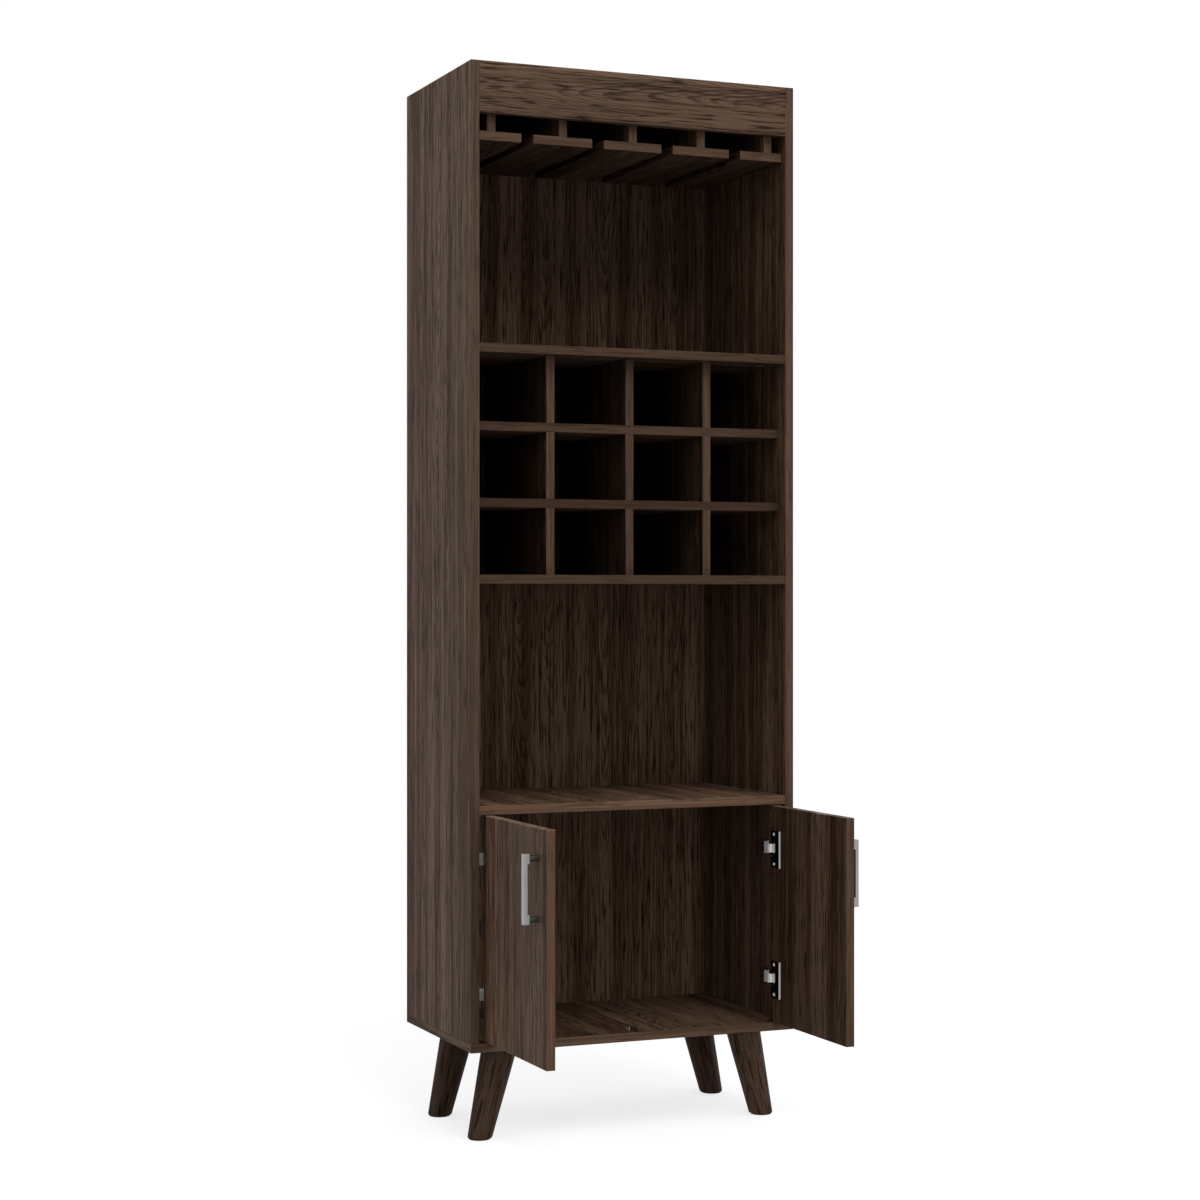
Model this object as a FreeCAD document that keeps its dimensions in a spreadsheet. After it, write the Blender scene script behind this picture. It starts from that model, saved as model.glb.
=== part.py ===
import FreeCAD, Part
import os
import re
import Sketcher

# Bar armoire on splayed legs: a tall board carcass with a stemware rack under its top, a crossed wine rack,
# an open bar shelf and a cupboard with two inset doors on concealed cup hinges.
# Frame: origin on the floor under the middle of the carcass, +X to the right, +Y to the back, +Z up.
# The stored pose has both doors standing open at a right angle.

V = FreeCAD.Vector

# Driving dimensions in millimetres, and angles in degrees.
SIZES = {
    # Carcass boards
    "width": 600, "depth": 336, "height": 1650, "board": 15, "edge_round": 0.6,
    "fascia_height": 86, "back_board": 3, "back_rebate": 8,
    # Undersides of the shelves, above the carcass underside
    "bar_shelf_rise": 395, "rack_bottom_rise": 780, "rack_top_rise": 1166, "shelf_setback": 1,
    # Wine rack lattice and stemware rack
    "rack_setback": 30, "lap_gap": 0.15,
    "stem_drop": 129, "stem_slot": 21.5, "stem_setback": 16, "end_slat": 80.75, "end_strut": 27,
    # Doors and handles
    "door_gap": 1.5, "door_turn": 90,
    "handle_low": 242, "handle_length": 112, "handle_width": 12, "handle_bar": 6, "handle_tab": 10,
    "handle_end": 16, "handle_rise": 25.5, "handle_inset": 37, "handle_round": 0.8,
    "post": 10, "post_stud": 4, "post_bite": 6, "post_sink": 11,
    # Cup hinges: pivots, link, cup, arm and mounting plate
    "hinge_inset": 75, "pivot_depth": 6, "pivot_edge": 9.15, "arm_clear": 3, "arm_reach": 23,
    "link_turn": 46.4, "link_height": 15, "link_wall": 1.2, "knuckle": 4.6, "hinge_pin": 2.6, "pin_gap": 0.05,
    "cheek_gap": 0.3, "cup": 35, "cup_border": 3.5, "cup_skin": 3.5, "cup_wall": 0.9, "cup_floor": 0.8,
    "cup_notch": 3,
    "ear_reach": 32, "ear_near": 8, "ear_far": 22, "ear_rim": 5, "ear_sheet": 2.4, "ear_root": 14,
    "ear_hole": 26, "ear_set": 4,
    "arm_height": 20, "arm_bar": 5.2, "arm_nose": 14, "arm_sheet": 4, "arm_length": 54,
    "plate_rise": 5, "plate_sheet": 2, "plate_wing": 14, "plate_reach": 24, "plate_hole": 16,
    "core_height": 14, "core_length": 38,
    "screw": 3.5, "screw_length": 12, "screw_head": 7, "screw_cone": 1.9,
    # Door stop
    "stop_gap": 0.3, "stop_width": 14, "stop_length": 16, "stop_wall": 5, "stop_height": 7, "stop_tab": 3.5,
    # Legs
    "leg_height": 155, "leg_top": 61.6, "leg_foot": 41.6, "leg_splay": 36.7, "foot_inset": 35.3,
    "leg_front": 56, "leg_back": 76,
    "glide_height": 1.2, "glide_lip": 3, "glide_pin": 5, "glide_pin_length": 16,
    "leg_bolt": 8, "leg_bolt_bite": 42, "leg_nut": 10.5, "nut_flange": 19, "nut_sheet": 1.6, "nut_skin": 2.5,
    # Joinery
    "dowel": 8, "dowel_length": 30, "dowel_skin": 4.5, "bore_gap": 0.1, "end_gap": 0.5,
    "fix_inset": 50, "fix_pitch": 32,
    "cam": 15, "cam_skin": 2.5, "cam_reach": 24, "cam_bolt": 5, "cam_bolt_neck": 3.6, "cam_bolt_head": 6,
    "cam_bolt_tip": 3, "cam_mouth": 7,
    "base_screw": 5, "base_screw_length": 50, "base_screw_head": 10, "base_screw_cone": 4,
    "nail": 1.6, "nail_length": 20, "nail_head": 4, "nail_cap": 0.8,
    # One overrun for every cut that breaks through a face
    "overrun": 1,
}

# Lengths that follow from the driving ones. Halves and counts are plain numbers.
DERIVED = {
    "front": "-depth / 2", "back": "depth / 2", "inside_back": "depth / 2 - back_board",
    "inner": "width / 2 - board", "deck": "leg_height + board", "roof": "leg_height + height",
    "ceiling": "roof - board", "fascia_low": "roof - fascia_height",
    "bar_low": "leg_height + bar_shelf_rise", "rack_low": "leg_height + rack_bottom_rise",
    "rack_high": "leg_height + rack_top_rise", "shelf_front": "front + shelf_setback",
    "cell_width": "(2 * inner - 3 * board) / 4", "cell_pitch": "cell_width + board",
    "cell_height": "(rack_high - rack_low - 3 * board) / 3", "row_pitch": "cell_height + board",
    "lattice_front": "front + rack_setback", "lattice_middle": "(lattice_front + inside_back) / 2",
    "slat_low": "roof - stem_drop", "slat_high": "slat_low + board", "slat_front": "front + stem_setback",
    "slat_pitch": "(2 * inner - 2 * end_slat - stem_slot) / 3", "slat_width": "slat_pitch - stem_slot",
    "near_fix": "front + fix_inset", "far_fix": "inside_back - fix_inset",
    "near_dowel": "near_fix + fix_pitch", "far_dowel": "far_fix - fix_pitch",
    "near_strut_fix": "near_fix + fix_pitch / 2", "far_strut_fix": "far_fix - fix_pitch / 2",
    "dowel_face": "board - dowel_skin",
    "door_width": "inner - 3 * door_gap / 2",
    "door_low": "deck + door_gap", "door_high": "bar_low - door_gap",
    "door_face": "board - pivot_depth", "door_free": "door_width - pivot_edge",
    "handle_middle": "door_free - handle_inset", "handle_foot": "leg_height + handle_low",
    "post_length": "handle_rise - handle_tab",
    "arm_x": "inner - arm_reach", "arm_y": "front + board + arm_clear",
    "link_across": "arm_reach - door_gap - pivot_edge", "link_along": "pivot_depth + arm_clear",
    "link_length": "sqrt(link_across ^ 2 + link_along ^ 2)",
    "link_rest": "atan(link_across / link_along) - link_turn * 1 deg",
    "pivot_x": "arm_x + link_length * sin(link_rest)", "pivot_y": "arm_y - link_length * cos(link_rest)",
    "cup_x": "cup / 2 + cup_border - pivot_edge", "cup_depth": "board - cup_skin",
    "cup_radius": "cup / 2 - bore_gap", "link_room": "link_height / 2 + cheek_gap",
    "cup_pin_half": "sqrt(cup_radius ^ 2 - (cup_x + knuckle / 2) ^ 2)",
    "plate_x": "inner - plate_rise", "core_y": "arm_y + arm_nose", "plate_y": "core_y + core_length / 2",
    "foot_spread": "width / 2 - foot_inset", "leg_x": "foot_spread - leg_splay",
    "foot_share": "glide_height / leg_height",
    "foot_x": "foot_spread - leg_splay * foot_share",
    "foot_radius": "leg_foot / 2 + (leg_top - leg_foot) / 2 * foot_share",
    "nail_x": "inner + back_rebate / 2",
}

# Places of repeated fixings, as shares of the span that they sit on.
NAIL_SIDE_SHARES = (0.03, 0.16, 0.3, 0.43, 0.57, 0.7, 0.84, 0.97)
NAIL_SHELF_SHARES = (-0.6, 0, 0.6)
FASCIA_END_SHARES = (0.25, 0.75)
FASCIA_TOP_SHARES = (-0.7, 0, 0.7)

# Turns that carry the local +Z of a piece to a named direction.
TURNS = {
    "+X": FreeCAD.Rotation(V(0, 1, 0), 90),
    "-X": FreeCAD.Rotation(V(0, 1, 0), -90),
    "+Y": FreeCAD.Rotation(V(1, 0, 0), -90),
    "-Y": FreeCAD.Rotation(V(1, 0, 0), 90),
    "+Z": FreeCAD.Rotation(),
    "-Z": FreeCAD.Rotation(V(1, 0, 0), 180),
}
CAM_FROM_BELOW = FreeCAD.Rotation(V(1, 0, 0), 90)
SIDES = (("left", -1), ("right", 1))

doc = FreeCAD.newDocument("bar_armoire")
sheet = doc.addObject("Spreadsheet::Sheet", "sizes")
for row, (alias, number) in enumerate(SIZES.items(), start=1):
    sheet.set("A%d" % row, alias)
    sheet.set("B%d" % row, str(number))
    sheet.setAlias("B%d" % row, alias)
doc.recompute()

NODES = {}
CUTTERS = {}


def formula(text):
    """Write a formula of size names as an expression on the sheet."""
    def name(match):
        word = match.group()
        if word in DERIVED:
            return "(" + formula(DERIVED[word]) + ")"
        return "sizes." + word if word in SIZES else word
    return re.sub(r"[a-z_]\w*", name, text)


def bind(thing, **properties):
    for prop, text in properties.items():
        thing.setExpression(prop, formula(text))
    return thing


def place(thing, x, y, z, turn="+Z"):
    thing.Placement = FreeCAD.Placement(V(), TURNS[turn])
    for axis, text in zip("xyz", (x, y, z)):
        thing.setExpression("Placement.Base." + axis, formula(text))
    return thing


def span(ends):
    return "(%s) - (%s)" % (ends[1], ends[0])


def across(side, near, far):
    """Mirror a pair of X faces, given for the right-hand side, to the side asked for."""
    return (near, far) if side > 0 else ("-(%s)" % far, "-(%s)" % near)


def mirrored(side, text):
    return text if side > 0 else "-(%s)" % text


def rectangle(body, name, width, depth):
    """A rectangle with one corner on the body's origin, in its XY plane."""
    sketch = body.newObject("Sketcher::SketchObject", name)
    plane = [feature for feature in body.Origin.OriginFeatures if feature.Role == "XY_Plane"][0]
    sketch.AttachmentSupport = [(plane, "")]
    sketch.MapMode = "FlatFace"
    corners = [V(0, 0), V(1, 0), V(1, 1), V(0, 1)]
    for start in range(4):
        sketch.addGeometry(Part.LineSegment(corners[start], corners[(start + 1) % 4]))
    for start in range(4):
        sketch.addConstraint(Sketcher.Constraint("Coincident", start, 2, (start + 1) % 4, 1))
        sketch.addConstraint(Sketcher.Constraint("Vertical" if start % 2 else "Horizontal", start))
    sketch.addConstraint(Sketcher.Constraint("Coincident", 0, 1, -1, 1))
    for kind, line, text in (("DistanceX", 0, width), ("DistanceY", 1, depth)):
        index = sketch.addConstraint(Sketcher.Constraint(kind, line, 1, line, 2, 1))
        sketch.setExpression("Constraints[%d]" % index, formula(text))
    return sketch


def eased_block(name, x, y, z, rounding="edge_round"):
    """A sawn block between pairs of faces, with all its edges eased."""
    body = doc.addObject("PartDesign::Body", name)
    pad = body.newObject("PartDesign::Pad", name + "_pad")
    pad.Profile = rectangle(body, name + "_outline", span(x), span(y))
    bind(pad, Length=span(z))
    doc.recompute()
    ease = body.newObject("PartDesign::Fillet", name + "_easing")
    ease.Base = (pad, ["Edge1"])
    ease.UseAllEdges = True
    bind(ease, Radius=rounding)
    return place(body, x[0], y[0], z[0])


def box(name, x, y, z):
    block = doc.addObject("Part::Box", name)
    return place(bind(block, Length=span(x), Width=span(y), Height=span(z)), x[0], y[0], z[0])


def rod(name, diameter, length, x="0", y="0", z="0", turn="+Z"):
    cylinder = doc.addObject("Part::Cylinder", name)
    return place(bind(cylinder, Radius="(%s) / 2" % diameter, Height=length), x, y, z, turn)


def cone(name, start, end, length, x="0", y="0", z="0", turn="+Z"):
    taper = doc.addObject("Part::Cone", name)
    bind(taper, Radius1="(%s) / 2" % start, Radius2="(%s) / 2" % end, Height=length)
    return place(taper, x, y, z, turn)


def fuse(name, pieces):
    union = doc.addObject("Part::MultiFuse", name)
    union.Shapes = pieces
    return union


def cut(name, base, tool):
    result = doc.addObject("Part::Cut", name)
    result.Base = base
    result.Tool = tool
    return result


def group(name, pieces):
    compound = doc.addObject("Part::Compound", name)
    compound.Links = pieces
    return compound


def copy_of(master, name, x, y, z, turn="+Z"):
    link = doc.addObject("App::Link", name)
    link.LinkedObject = master
    return place(link, x, y, z, turn)


def node(label, solid):
    """Register a solid as the sub-part of that label."""
    solid.Label = label
    NODES[label] = solid
    return solid


def drill(labels, cutter):
    for label in labels:
        CUTTERS.setdefault(label, []).append(cutter)


def finish(label, blank):
    """Cut a blank by everything that was set into it, and register it."""
    if label in CUTTERS:
        blank = cut(label, blank, group(label + "_cuts", CUTTERS[label]))
    return node(label, blank)


# Fixings, each drawn once about its own axis: local +Z is the way it is driven, z = 0 the face it seats on.
# A fixing of one rod is grouped, so that every copy keeps the rod's offset along that axis.
dowel_one = group("dowel_one", [rod("dowel_rod", "dowel", "dowel_length", z="-dowel_face")])
dowel_bore = group("dowel_bore", [
    rod("dowel_way", "dowel + 2 * bore_gap", "dowel_length + 2 * end_gap", z="-dowel_face - end_gap"),
])

cam_bolt_one = fuse("cam_bolt_one", [
    rod("cam_bolt_thread", "cam_bolt", "dowel_face", z="-dowel_face"),
    rod("cam_bolt_shank", "cam_bolt_neck", "cam_reach + cam_bolt_tip / 2"),
    rod("cam_bolt_cap", "cam_bolt_head", "cam_bolt_tip", z="cam_reach - cam_bolt_tip / 2"),
])
cam_body = rod("cam_body", "cam - 2 * bore_gap", "board - cam_skin - end_gap",
               y="-board / 2", z="cam_reach", turn="+Y")
cam_cavity = rod("cam_cavity", "cam_mouth", "cam / 2 + cam_bolt_tip", z="cam_reach - cam / 2 - overrun")
cam_lock_one = cut("cam_lock_one", cam_body, cam_cavity)
cam_bore = fuse("cam_bore", [
    rod("cam_seat", "cam", "board - cam_skin + overrun", y="-board / 2 - overrun", z="cam_reach", turn="+Y"),
    rod("cam_bolt_way", "cam_bolt_head + 2 * bore_gap", "cam_reach"),
    rod("cam_bolt_pilot", "cam_bolt + 2 * bore_gap", "dowel_face + end_gap + overrun",
        z="-dowel_face - end_gap"),
])

nail_one = fuse("nail_one", [
    rod("nail_shank", "nail", "nail_length"),
    rod("nail_disc", "nail_head", "nail_cap"),
])
nail_bore = fuse("nail_bore", [
    rod("nail_pilot", "nail + 2 * bore_gap", "nail_length + end_gap"),
    rod("nail_seat", "nail_head + 2 * bore_gap", "nail_cap + overrun", z="-overrun"),
])


def screw_pair(name, shank, length, head, cone_depth):
    """A countersunk screw and the hole for it, flush with the face that it seats on."""
    solid = fuse(name + "_one", [
        rod(name + "_shank", shank, length),
        cone(name + "_head", head, shank, cone_depth),
    ])
    hole = fuse(name + "_bore", [
        rod(name + "_pilot", shank + " + 2 * bore_gap", length + " + end_gap"),
        cone(name + "_sink", head + " + 2 * bore_gap", shank + " + 2 * bore_gap", cone_depth),
        rod(name + "_mouth", head + " + 2 * bore_gap", "overrun", z="-overrun"),
    ])
    return solid, hole


wood_screw, wood_screw_bore = screw_pair("wood_screw", "screw", "screw_length", "screw_head", "screw_cone")
base_screw, base_screw_bore = screw_pair(
    "base_screw", "base_screw", "base_screw_length", "base_screw_head", "base_screw_cone")


def fix(kind, solid, bore, labels, x, y, z, turn, pile):
    """Set one copy of a fixing where it goes, and drill the boards that it holds."""
    name = "%s_%d" % (kind, len(pile))
    pile.append(copy_of(solid, name, x, y, z, turn))
    drill(labels, copy_of(bore, name + "_hole", x, y, z, turn))


DOWELS = []
CAM_BOLTS = []
CAM_LOCKS = []
NAILS = []
BASE_SCREWS = []
PLATE_SCREWS = []


def dowel(labels, x, y, z, turn):
    fix("dowel", dowel_one, dowel_bore, labels, x, y, z, turn, DOWELS)


# The boards that lie between the side panels: (X faces, Y faces, Z faces).
full_width = ("-inner", "inner")
SHELVES = {
    "top_panel": (full_width, ("front + board", "inside_back"), ("ceiling", "roof")),
    "rack_top_shelf": (full_width, ("shelf_front", "inside_back"), ("rack_high", "rack_high + board")),
    "rack_bottom_shelf": (full_width, ("shelf_front", "inside_back"), ("rack_low", "rack_low + board")),
    "bar_shelf": (full_width, ("shelf_front", "inside_back"), ("bar_low", "bar_low + board")),
}
for label, (x, y, z) in SHELVES.items():
    middle = z[0] + " + board / 2"
    for side_name, side in SIDES:
        inward = "+X" if side < 0 else "-X"
        boards = (side_name + "_side_panel", label)
        for fix_y in ("near_fix", "far_fix"):
            name = "cam_%d" % len(CAM_BOLTS)
            spot = (mirrored(side, "inner"), fix_y, middle)
            CAM_BOLTS.append(copy_of(cam_bolt_one, name + "_bolt", *spot, inward))
            CAM_LOCKS.append(copy_of(cam_lock_one, name + "_lock", *spot, inward))
            bore = copy_of(cam_bore, name + "_hole", *spot, inward)
            # The cam goes in from below: the local -Y of the fitting is turned to face down.
            for link in (CAM_BOLTS[-1], CAM_LOCKS[-1], bore):
                link.Placement = FreeCAD.Placement(link.Placement.Base, CAM_FROM_BELOW * TURNS[inward])
            drill(boards, bore)
        for fix_y in ("near_dowel", "far_dowel"):
            dowel(boards, mirrored(side, "inner"), fix_y, middle, inward)
    for share in NAIL_SHELF_SHARES:
        fix("nail", nail_one, nail_bore, (label, "back_panel"), "inner * %s" % share, "back", middle, "-Y",
            NAILS)

# Base panel joints: screws from below and dowels, up into the side panels.
for side_name, side in SIDES:
    boards = ("base_panel", side_name + "_side_panel")
    middle = mirrored(side, "inner + board / 2")
    for fix_y in ("near_fix", "(near_fix + far_fix) / 2", "far_fix"):
        fix("base_screw", base_screw, base_screw_bore, boards, middle, fix_y, "leg_height", "+Z", BASE_SCREWS)
    for fix_y in ("near_dowel", "far_dowel"):
        dowel(boards, middle, fix_y, "deck", "+Z")
    for share in NAIL_SIDE_SHARES:
        fix("nail", nail_one, nail_bore, (side_name + "_side_panel", "back_panel"), mirrored(side, "nail_x"),
            "back", "deck + (roof - deck) * %s" % share, "-Y", NAILS)

# Fascia joints: dowels into the side panels and into the front edge of the top panel.
for side_name, side in SIDES:
    for share in FASCIA_END_SHARES:
        dowel((side_name + "_side_panel", "fascia"), mirrored(side, "inner"), "front + board / 2",
              "roof - fascia_height * %s" % share, "+X" if side < 0 else "-X")
for share in FASCIA_TOP_SHARES:
    dowel(("fascia", "top_panel"), "inner * %s" % share, "front + board", "roof - board / 2", "+Y")

# Wine rack: dividers slotted from the front and cross shelves slotted from the back, lapped into each other.
DIVIDERS = {"rack_divider_left": -1, "rack_divider_centre": 0, "rack_divider_right": 1}
CROSS_SHELVES = {"rack_shelf_lower": 1, "rack_shelf_upper": 2}
for divider, column in DIVIDERS.items():
    divider_x = "cell_pitch * %d" % column
    for fix_y in ("near_dowel", "far_dowel"):
        dowel((divider, "rack_top_shelf"), divider_x, fix_y, "rack_high", "-Z")
        dowel((divider, "rack_bottom_shelf"), divider_x, fix_y, "rack_low + board", "+Z")
    for cross_shelf, rung in CROSS_SHELVES.items():
        low = "rack_low + row_pitch * %d" % rung
        shelf_notch = box("%s_notch_%s" % (cross_shelf, divider),
                          (divider_x + " - board / 2 - lap_gap", divider_x + " + board / 2 + lap_gap"),
                          ("lattice_middle - lap_gap", "inside_back + overrun"),
                          (low + " - overrun", low + " + board + overrun"))
        divider_notch = box("%s_notch_%s" % (divider, cross_shelf),
                            (divider_x + " - board / 2 - overrun", divider_x + " + board / 2 + overrun"),
                            ("lattice_front - overrun", "lattice_middle + lap_gap"),
                            (low + " - lap_gap", low + " + board + lap_gap"))
        drill((cross_shelf,), shelf_notch)
        drill((divider,), divider_notch)
for cross_shelf, rung in CROSS_SHELVES.items():
    for side_name, side in SIDES:
        for fix_y in ("near_dowel", "far_dowel"):
            dowel((cross_shelf, side_name + "_side_panel"), mirrored(side, "inner"), fix_y,
                  "rack_low + row_pitch * %d + board / 2" % rung, "+X" if side < 0 else "-X")

# Stemware rack: each slat hangs from the top panel on one strut, and the stems slide in between the slats.
SLATS = [("-inner", "-inner + end_slat", "-inner + end_strut")]
for place_no in (-1, 0, 1):
    middle = "slat_pitch * %d" % place_no
    SLATS.append((middle + " - slat_width / 2", middle + " + slat_width / 2", middle))
SLATS.append(("inner - end_slat", "inner", "inner - end_strut"))
for number, (low_x, high_x, strut_x) in enumerate(SLATS, start=1):
    slat, strut = "stem_slat_%d" % number, "stem_strut_%d" % number
    for fix_y in ("near_strut_fix", "far_strut_fix"):
        dowel((strut, "top_panel"), strut_x, fix_y, "ceiling", "-Z")
        dowel((strut, slat), strut_x, fix_y, "slat_high", "+Z")

# Legs, each an oblique taper with level ends, on a bolt and a flanged nut let into the base panel from below.
LEG_PLACES = (
    ("front_left_leg", -1, "front + leg_front"),
    ("front_right_leg", 1, "front + leg_front"),
    ("rear_left_leg", -1, "back - leg_back"),
    ("rear_right_leg", 1, "back - leg_back"),
)
leg_bolt_one = group("leg_bolt_one", [
    rod("leg_bolt_rod", "leg_bolt", "leg_bolt_bite + board - nut_skin", z="-leg_bolt_bite"),
])
leg_bolt_bore = group("leg_bolt_bore", [
    rod("leg_bolt_way", "leg_bolt + 2 * bore_gap", "leg_bolt_bite + board + end_gap + overrun",
        z="-leg_bolt_bite - end_gap"),
])
nut_barrel = rod("nut_barrel", "leg_nut", "board - nut_skin")
nut_disc = rod("nut_disc", "nut_flange", "nut_sheet")
leg_nut_one = cut("leg_nut_one", fuse("nut_blank", [nut_barrel, nut_disc]), leg_bolt_bore)
leg_nut_bore = fuse("leg_nut_bore", [
    rod("nut_way", "leg_nut + 2 * bore_gap", "board - nut_skin + end_gap + overrun", z="-overrun"),
    rod("nut_seat", "nut_flange + 2 * bore_gap", "nut_sheet + overrun", z="-overrun"),
])
glide_one = fuse("glide_one", [
    rod("glide_disc", "leg_foot - 2 * glide_lip", "glide_height"),
    rod("glide_spike", "glide_pin", "glide_height + glide_pin_length"),
])
glide_bore = group("glide_bore", [
    rod("glide_way", "glide_pin + 2 * bore_gap", "glide_pin_length + end_gap + overrun",
        z="glide_height - overrun"),
])
LEG_BOLTS = []
LEG_NUTS = []
GLIDES = []
for leg, side, leg_y in LEG_PLACES:
    leg_x = mirrored(side, "leg_x")
    fix("leg_bolt", leg_bolt_one, leg_bolt_bore, (leg,), leg_x, leg_y, "leg_height", "+Z", LEG_BOLTS)
    fix("leg_nut", leg_nut_one, leg_nut_bore, ("base_panel",), leg_x, leg_y, "leg_height", "+Z", LEG_NUTS)
    fix("glide", glide_one, glide_bore, (leg,), mirrored(side, "foot_spread"), leg_y, "0", "+Z", GLIDES)
    rings = []
    for end, diameter, x, z in (("top", "leg_top", "leg_x", "leg_height"),
                                ("foot", "2 * foot_radius", "foot_x", "glide_height")):
        ring = doc.addObject("Part::Circle", "%s_%s" % (leg, end))
        rings.append(place(bind(ring, Radius="(%s) / 2" % diameter), mirrored(side, x), leg_y, z))
    blank = doc.addObject("Part::Loft", leg + "_blank")
    blank.Sections = rings
    blank.Solid = True
    blank.Ruled = True
    finish(leg, blank)
node("leg_bolts", group("leg_bolts", LEG_BOLTS))
node("leg_nuts", group("leg_nuts", LEG_NUTS))
node("foot_glides", group("foot_glides", GLIDES))

# Door stop: a low block screwed to the base panel behind the meeting edges of the doors.
stop_y = "front + board + stop_gap"
stop_half = ("-stop_width / 2", "stop_width / 2")
stop_blank = fuse("stop_blank", [
    eased_block("stop_wall_block", stop_half, (stop_y, stop_y + " + stop_wall"),
                ("deck", "deck + stop_height")),
    eased_block("stop_tab_block", stop_half, (stop_y + " + stop_wall / 2", stop_y + " + stop_length"),
                ("deck", "deck + stop_tab")),
])
STOP_SCREWS = []
fix("stop_screw", wood_screw, wood_screw_bore, ("door_stop", "base_panel"), "0",
    stop_y + " + (stop_wall + stop_length) / 2", "deck + stop_tab", "-Z", STOP_SCREWS)
finish("door_stop", stop_blank)
node("stop_screw", group("stop_screw", STOP_SCREWS))


def hinge_heights():
    return (("lower", "door_low + hinge_inset"), ("upper", "door_high - hinge_inset"))


def swing(side, thing):
    """Turn a piece that is drawn on the closed door, about the hinge pivot, to the stored open pose."""
    place(thing, mirrored(side, "pivot_x"), "pivot_y", "0")
    thing.setExpression("Placement.Rotation.Angle", formula("%d * door_turn * 1 deg" % side))
    return thing


# Fixed half of each hinge: mounting plate on the side panel, cranked arm, and the pin at the arm's nose.
ARM_PINS = []
for side_name, side in SIDES:
    plates, arms = [], []
    for level, middle in hinge_heights():
        name = "%s_%s_hinge" % (side_name, level)
        high = (middle + " - arm_height / 2", middle + " + arm_height / 2")
        slot = (middle + " - link_room", middle + " + link_room")
        wing = (middle + " - plate_reach", middle + " + plate_reach")
        core = (middle + " - core_height / 2", middle + " + core_height / 2")
        plate = fuse(name + "_plate_blank", [
            eased_block(name + "_wing", across(side, "inner - plate_sheet", "inner"),
                        ("plate_y - plate_wing / 2", "plate_y + plate_wing / 2"), wing),
            eased_block(name + "_core", across(side, "plate_x", "inner"),
                        ("core_y", "core_y + core_length"), core),
        ])
        for way in (-1, 1):
            fix("plate_screw", wood_screw, wood_screw_bore, (name + "_plate", side_name + "_side_panel"),
                mirrored(side, "inner - plate_sheet"), "plate_y", middle + " + plate_hole * %d" % way,
                "+X" if side > 0 else "-X", PLATE_SCREWS)
        plates.append(cut(name + "_plate", plate, group(name + "_plate_holes", CUTTERS[name + "_plate"])))
        arm_blank = fuse(name + "_arm_blank", [
            rod(name + "_eye", "arm_bar", "arm_height", mirrored(side, "arm_x"), "arm_y", high[0]),
            box(name + "_nose", across(side, "arm_x - arm_bar / 2", "arm_x + arm_bar / 2"),
                ("arm_y", "core_y + arm_sheet"), high),
            box(name + "_crank", across(side, "arm_x - arm_bar / 2", "plate_x"),
                ("core_y", "core_y + arm_sheet"), high),
            box(name + "_tail", across(side, "plate_x - arm_sheet", "plate_x"),
                ("core_y", "arm_y + arm_length"), high),
        ])
        arm_room = fuse(name + "_arm_room", [
            box(name + "_link_slot", across(side, "arm_x - arm_bar", "arm_x + arm_bar"),
                ("arm_y - arm_bar", "arm_y + knuckle / 2 + cheek_gap"), slot),
            rod(name + "_arm_pin_way", "hinge_pin", "arm_height + 2 * overrun", mirrored(side, "arm_x"),
                "arm_y", high[0] + " - overrun"),
        ])
        arms.append(cut(name + "_arm", arm_blank, arm_room))
        ARM_PINS.append(rod(name + "_arm_pin", "hinge_pin", "arm_height", mirrored(side, "arm_x"), "arm_y",
                            high[0]))
    node(side_name + "_hinge_plates", group(side_name + "_hinge_plates", plates))
    node(side_name + "_hinge_arms", group(side_name + "_hinge_arms", arms))
node("hinge_arm_pins", group("hinge_arm_pins", ARM_PINS))
node("hinge_plate_screws", group("hinge_plate_screws", PLATE_SCREWS))

# Swinging links: half rings that carry the cup pivot round the edge of the door, drawn about the arm pivot.
for side_name, side in SIDES:
    links = []
    for level, middle in hinge_heights():
        name = "%s_%s_link" % (side_name, level)
        low = middle + " - link_height / 2"
        arc = rod(name + "_arc", "link_length + link_wall", "link_height", "0", "-link_length / 2", low)
        arc.Angle = 180
        arc.Placement = FreeCAD.Placement(V(), FreeCAD.Rotation(V(0, 0, 1), 90 * side))
        hollow = rod(name + "_hollow", "link_length - link_wall", "link_height + 2 * overrun", "0",
                     "-link_length / 2", low + " - overrun")
        solid = fuse(name + "_blank", [
            cut(name + "_half_ring", arc, hollow),
            rod(name + "_arm_knuckle", "knuckle", "link_height", "0", "0", low),
            rod(name + "_cup_knuckle", "knuckle", "link_height", "0", "-link_length", low),
        ])
        ways = group(name + "_ways", [
            rod(name + "_arm_way", "hinge_pin + 2 * pin_gap", "link_height + 2 * overrun",
                "0", "0", low + " - overrun"),
            rod(name + "_cup_way", "hinge_pin + 2 * pin_gap", "link_height + 2 * overrun",
                "0", "-link_length", low + " - overrun"),
        ])
        links.append(cut(name, solid, ways))
    pair = group(side_name + "_hinge_links", links)
    place(pair, mirrored(side, "arm_x"), "arm_y", "0")
    pair.setExpression("Placement.Rotation.Angle", formula("%d * (link_rest)" % side))
    node(side_name + "_hinge_links", pair)

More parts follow.
